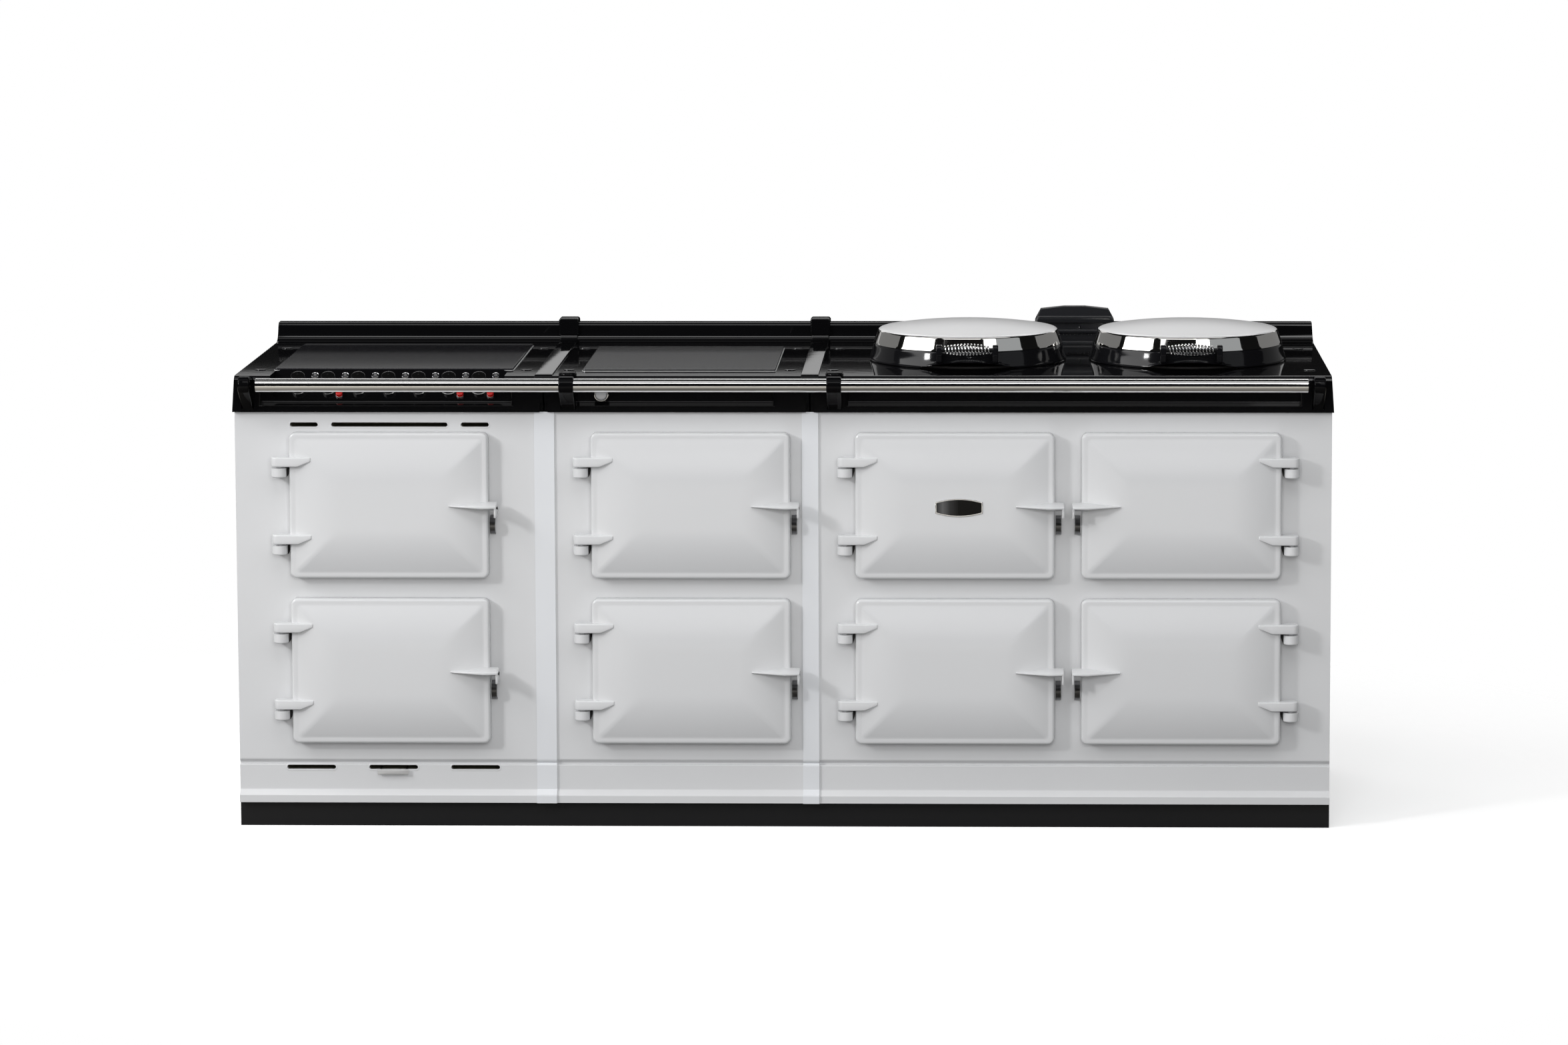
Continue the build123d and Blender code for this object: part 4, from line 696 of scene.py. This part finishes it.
disc_black = new_finish("disc_face", base_color=(0.02, 0.02, 0.022, 1), roughness=0.25)[0]
for index in range(7):
    x = -6 + (index - 3) * knob_pitch + 33
    ring = turned([(7.5, 0), (7.5, 0.9), (7.2, 1.4), (6.9, 1.5), (6.5, 1.3), (6.3, 0.7)], 48)
    face = turned([(6.6, 0.2), (6.5, 0.75), (6.2, 0.8)], 48)
    shells.append((on_slope(ring, x, 70, 3), chrome))
    shells.append((on_slope(face, x, 70, 3), disc_black))
    for shift, length in ((-2, 4 + index % 3), (0.4, 7), (2.8, 5 - index % 2)):
        line = rectangles([length, length, length], [0.7] * 3, 0.3, [0.7, 0.85, 0.9], 3) + [0, shift, 0]
        shells.append((on_slope(line, x, 70, 3), print_grey))
piece("plated_discs", "range", shells, ["symbol_discs"])
lens_red = new_finish("lens_red", base_color=(0.55, 0.01, 0.008, 1), roughness=0.15, coat_weight=0.5)[0]
shells = []
for index in (1, 5, 6):
    x = -6 + (index - 3) * knob_pitch + 27
    collar = turned([(7.3, 0), (7.3, 1.2), (7.0, 1.6), (6.5, 1.7)], 32)
    lens = turned([(6.5, 1), (6.5, 6), (6.2, 6.9), (5.4, 7.4), (0.4, 7.6)], 32)
    shells.append((on_slope(collar, x, 13, 3), chrome))
    shells.append((on_slope(lens, x, 13, 3), lens_red))
piece("neon_lenses", "range", shells, ["neon_lamps"])


# Chrome control in the middle module's recess: a plated ring round a small grey lens.
# Both turn together on a steel spindle that passes through the casting.
low, high = (corner * 1000 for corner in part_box("chrome_control"))
control_at = ((low.x + high.x) / 2, low.y + 14, (low.z + high.z) / 2)
ring = turned([
    (13.2, 0), (14.5, 0.6), (14.5, 8), (14.1, 9.3), (13.2, 10.2), (12.2, 10.4), (11.2, 10), (10.6, 9),
    (10.4, 7)], 72)
lens = turned([(10.5, 2), (10.5, 12.2), (10.1, 13), (9, 13.6), (6, 13.9), (1, 14)], 72)
spindle = turned([(3, -17.5), (3, 1)], 24)
lens_grey = new_finish("lens_grey", base_color=(0.5, 0.51, 0.53, 1), roughness=0.25, metallic=0.4)[0]
piece("chrome_ring_control", "chrome_control_set", [
    (placed(rings, control_at, *facing_front), finish)
    for rings, finish in ((ring, chrome), (lens, lens_grey), (spindle, chrome))], ["chrome_control"])


# Slot lips: a low rounded bead round each of the six vent slots of the left front plate.
# It is cast with the plate and enamelled white with it.
tab_low, tab_high = (corner * 1000 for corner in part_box("pull_tab"))
slot_x = (tab_low.x + tab_high.x) / 2
slot_rows = (772.8, ((-162.5, 53), (0, 221), (162.5, 53))), (113.5, ((-157, 93), (0, 93), (157, 93)))
slot_height = 8.5
grow = np.array([-0.1, 0, 0.25, 0.8, 1.6, 2.4, 3.0, 3.2, -0.1])
height = np.array([-3, 0.1, 0.4, 0.65, 0.6, 0.32, 0.05, -0.3, -3])
shells = []
for slot_z, slots in slot_rows:
    for shift, width in slots:
        lip = rectangles(width + 2 * grow, slot_height + 2 * grow, slot_height / 2 + grow, height, 9)
        at = (slot_x + shift, panel_y * 1000, slot_z)
        shells.append((placed(lip, at, *facing_front), white_enamel))
piece("slot_lips", "range", shells)


# Pull tab: a blank bright plate on two bent wires that slide in the lower middle vent slot.
# The wires are round steel, bent once behind the plate and run back into the slot.
tab_z = tab_low.z + 5
wire_radius, wire_bend = 1.25, 2.5
tab_silver = new_finish("tab_silver", base_color=(0.72, 0.72, 0.72, 1), metallic=0.4, roughness=0.35)[0]
inset = np.array([0.5, 0, 0, 0.5])
tab = rectangles(59 - 2 * inset, 10 - 2 * inset, 1.2, [0, 0.4, 1.6, 2], 5)
shells = [(placed(tab, (slot_x, tab_low.y + 2, tab_z), *facing_front), tab_silver)]
for wire_x in (slot_x - 24.5, slot_x + 24.5):
    bend = np.linspace(0, pi / 2, 7)
    line = np.concatenate([
        [[tab_low.y + 2.6, tab_z]],
        np.column_stack([
            tab_low.y + 2.6 + wire_bend - wire_bend * np.cos(bend),
            tab_high.z - wire_radius - wire_bend + wire_bend * np.sin(bend)]),
        [[tab_high.y, tab_high.z - wire_radius]]])
    ahead = np.gradient(line, axis=0)
    ahead /= np.linalg.norm(ahead, axis=1, keepdims=True)
    around = np.arange(12) * pi / 6
    wire = np.stack([
        wire_x + wire_radius * np.cos(around)[None] + 0 * line[:, :1],
        line[:, :1] - wire_radius * np.sin(around)[None] * ahead[:, 1:],
        line[:, 1:] + wire_radius * np.sin(around)[None] * ahead[:, :1]], axis=-1)
    shells.append((wire, chrome))
piece("tab_plate", "pull_tab_set", shells, ["pull_tab"])


# Plinth, casing and what lies inside: painted steel below, zinc-coated and enamelled sheet behind.
# Liners and shelves show once a door is open.
plain = {
    "plinth": ((0.012, 0.012, 0.013), 0.0, 0.4),
    "base_frame": ((0.02, 0.02, 0.022), 0.0, 0.5),
    "casing_panels": ((0.55, 0.555, 0.56), 0.0, 0.4),
    "hotplates": ((0.1, 0.098, 0.095), 0.7, 0.45),
    "lid_hinge_brackets": ((0.8, 0.8, 0.81), 1.0, 0.15),
    "rotary_switches": ((0.6, 0.58, 0.52), 0.0, 0.6),
    "oven_liners": ((0.03, 0.03, 0.034), 0.0, 0.3),
    "oven_shelves": ((0.7, 0.7, 0.7), 1.0, 0.25),
    "door_catches": ((0.2, 0.2, 0.205), 1.0, 0.3),
    "insulation": ((0.2, 0.18, 0.13), 0.0, 0.95),
    "heating_elements": ((0.14, 0.14, 0.145), 0.8, 0.45),
    "cable_gland": ((0.02, 0.02, 0.02), 0.0, 0.5),
}
for name in [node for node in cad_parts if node.endswith("_door_pan")]:
    plain[name] = ((0.62, 0.62, 0.63), 1.0, 0.3)
made_finishes = {}
for name, (colour, metal, rough) in plain.items():
    key = (colour, metal, rough)
    if key not in made_finishes:
        made_finishes[key] = new_finish(name, base_color=(*colour, 1), metallic=metal, roughness=rough)[0]
    finish_node(name, made_finishes[key])
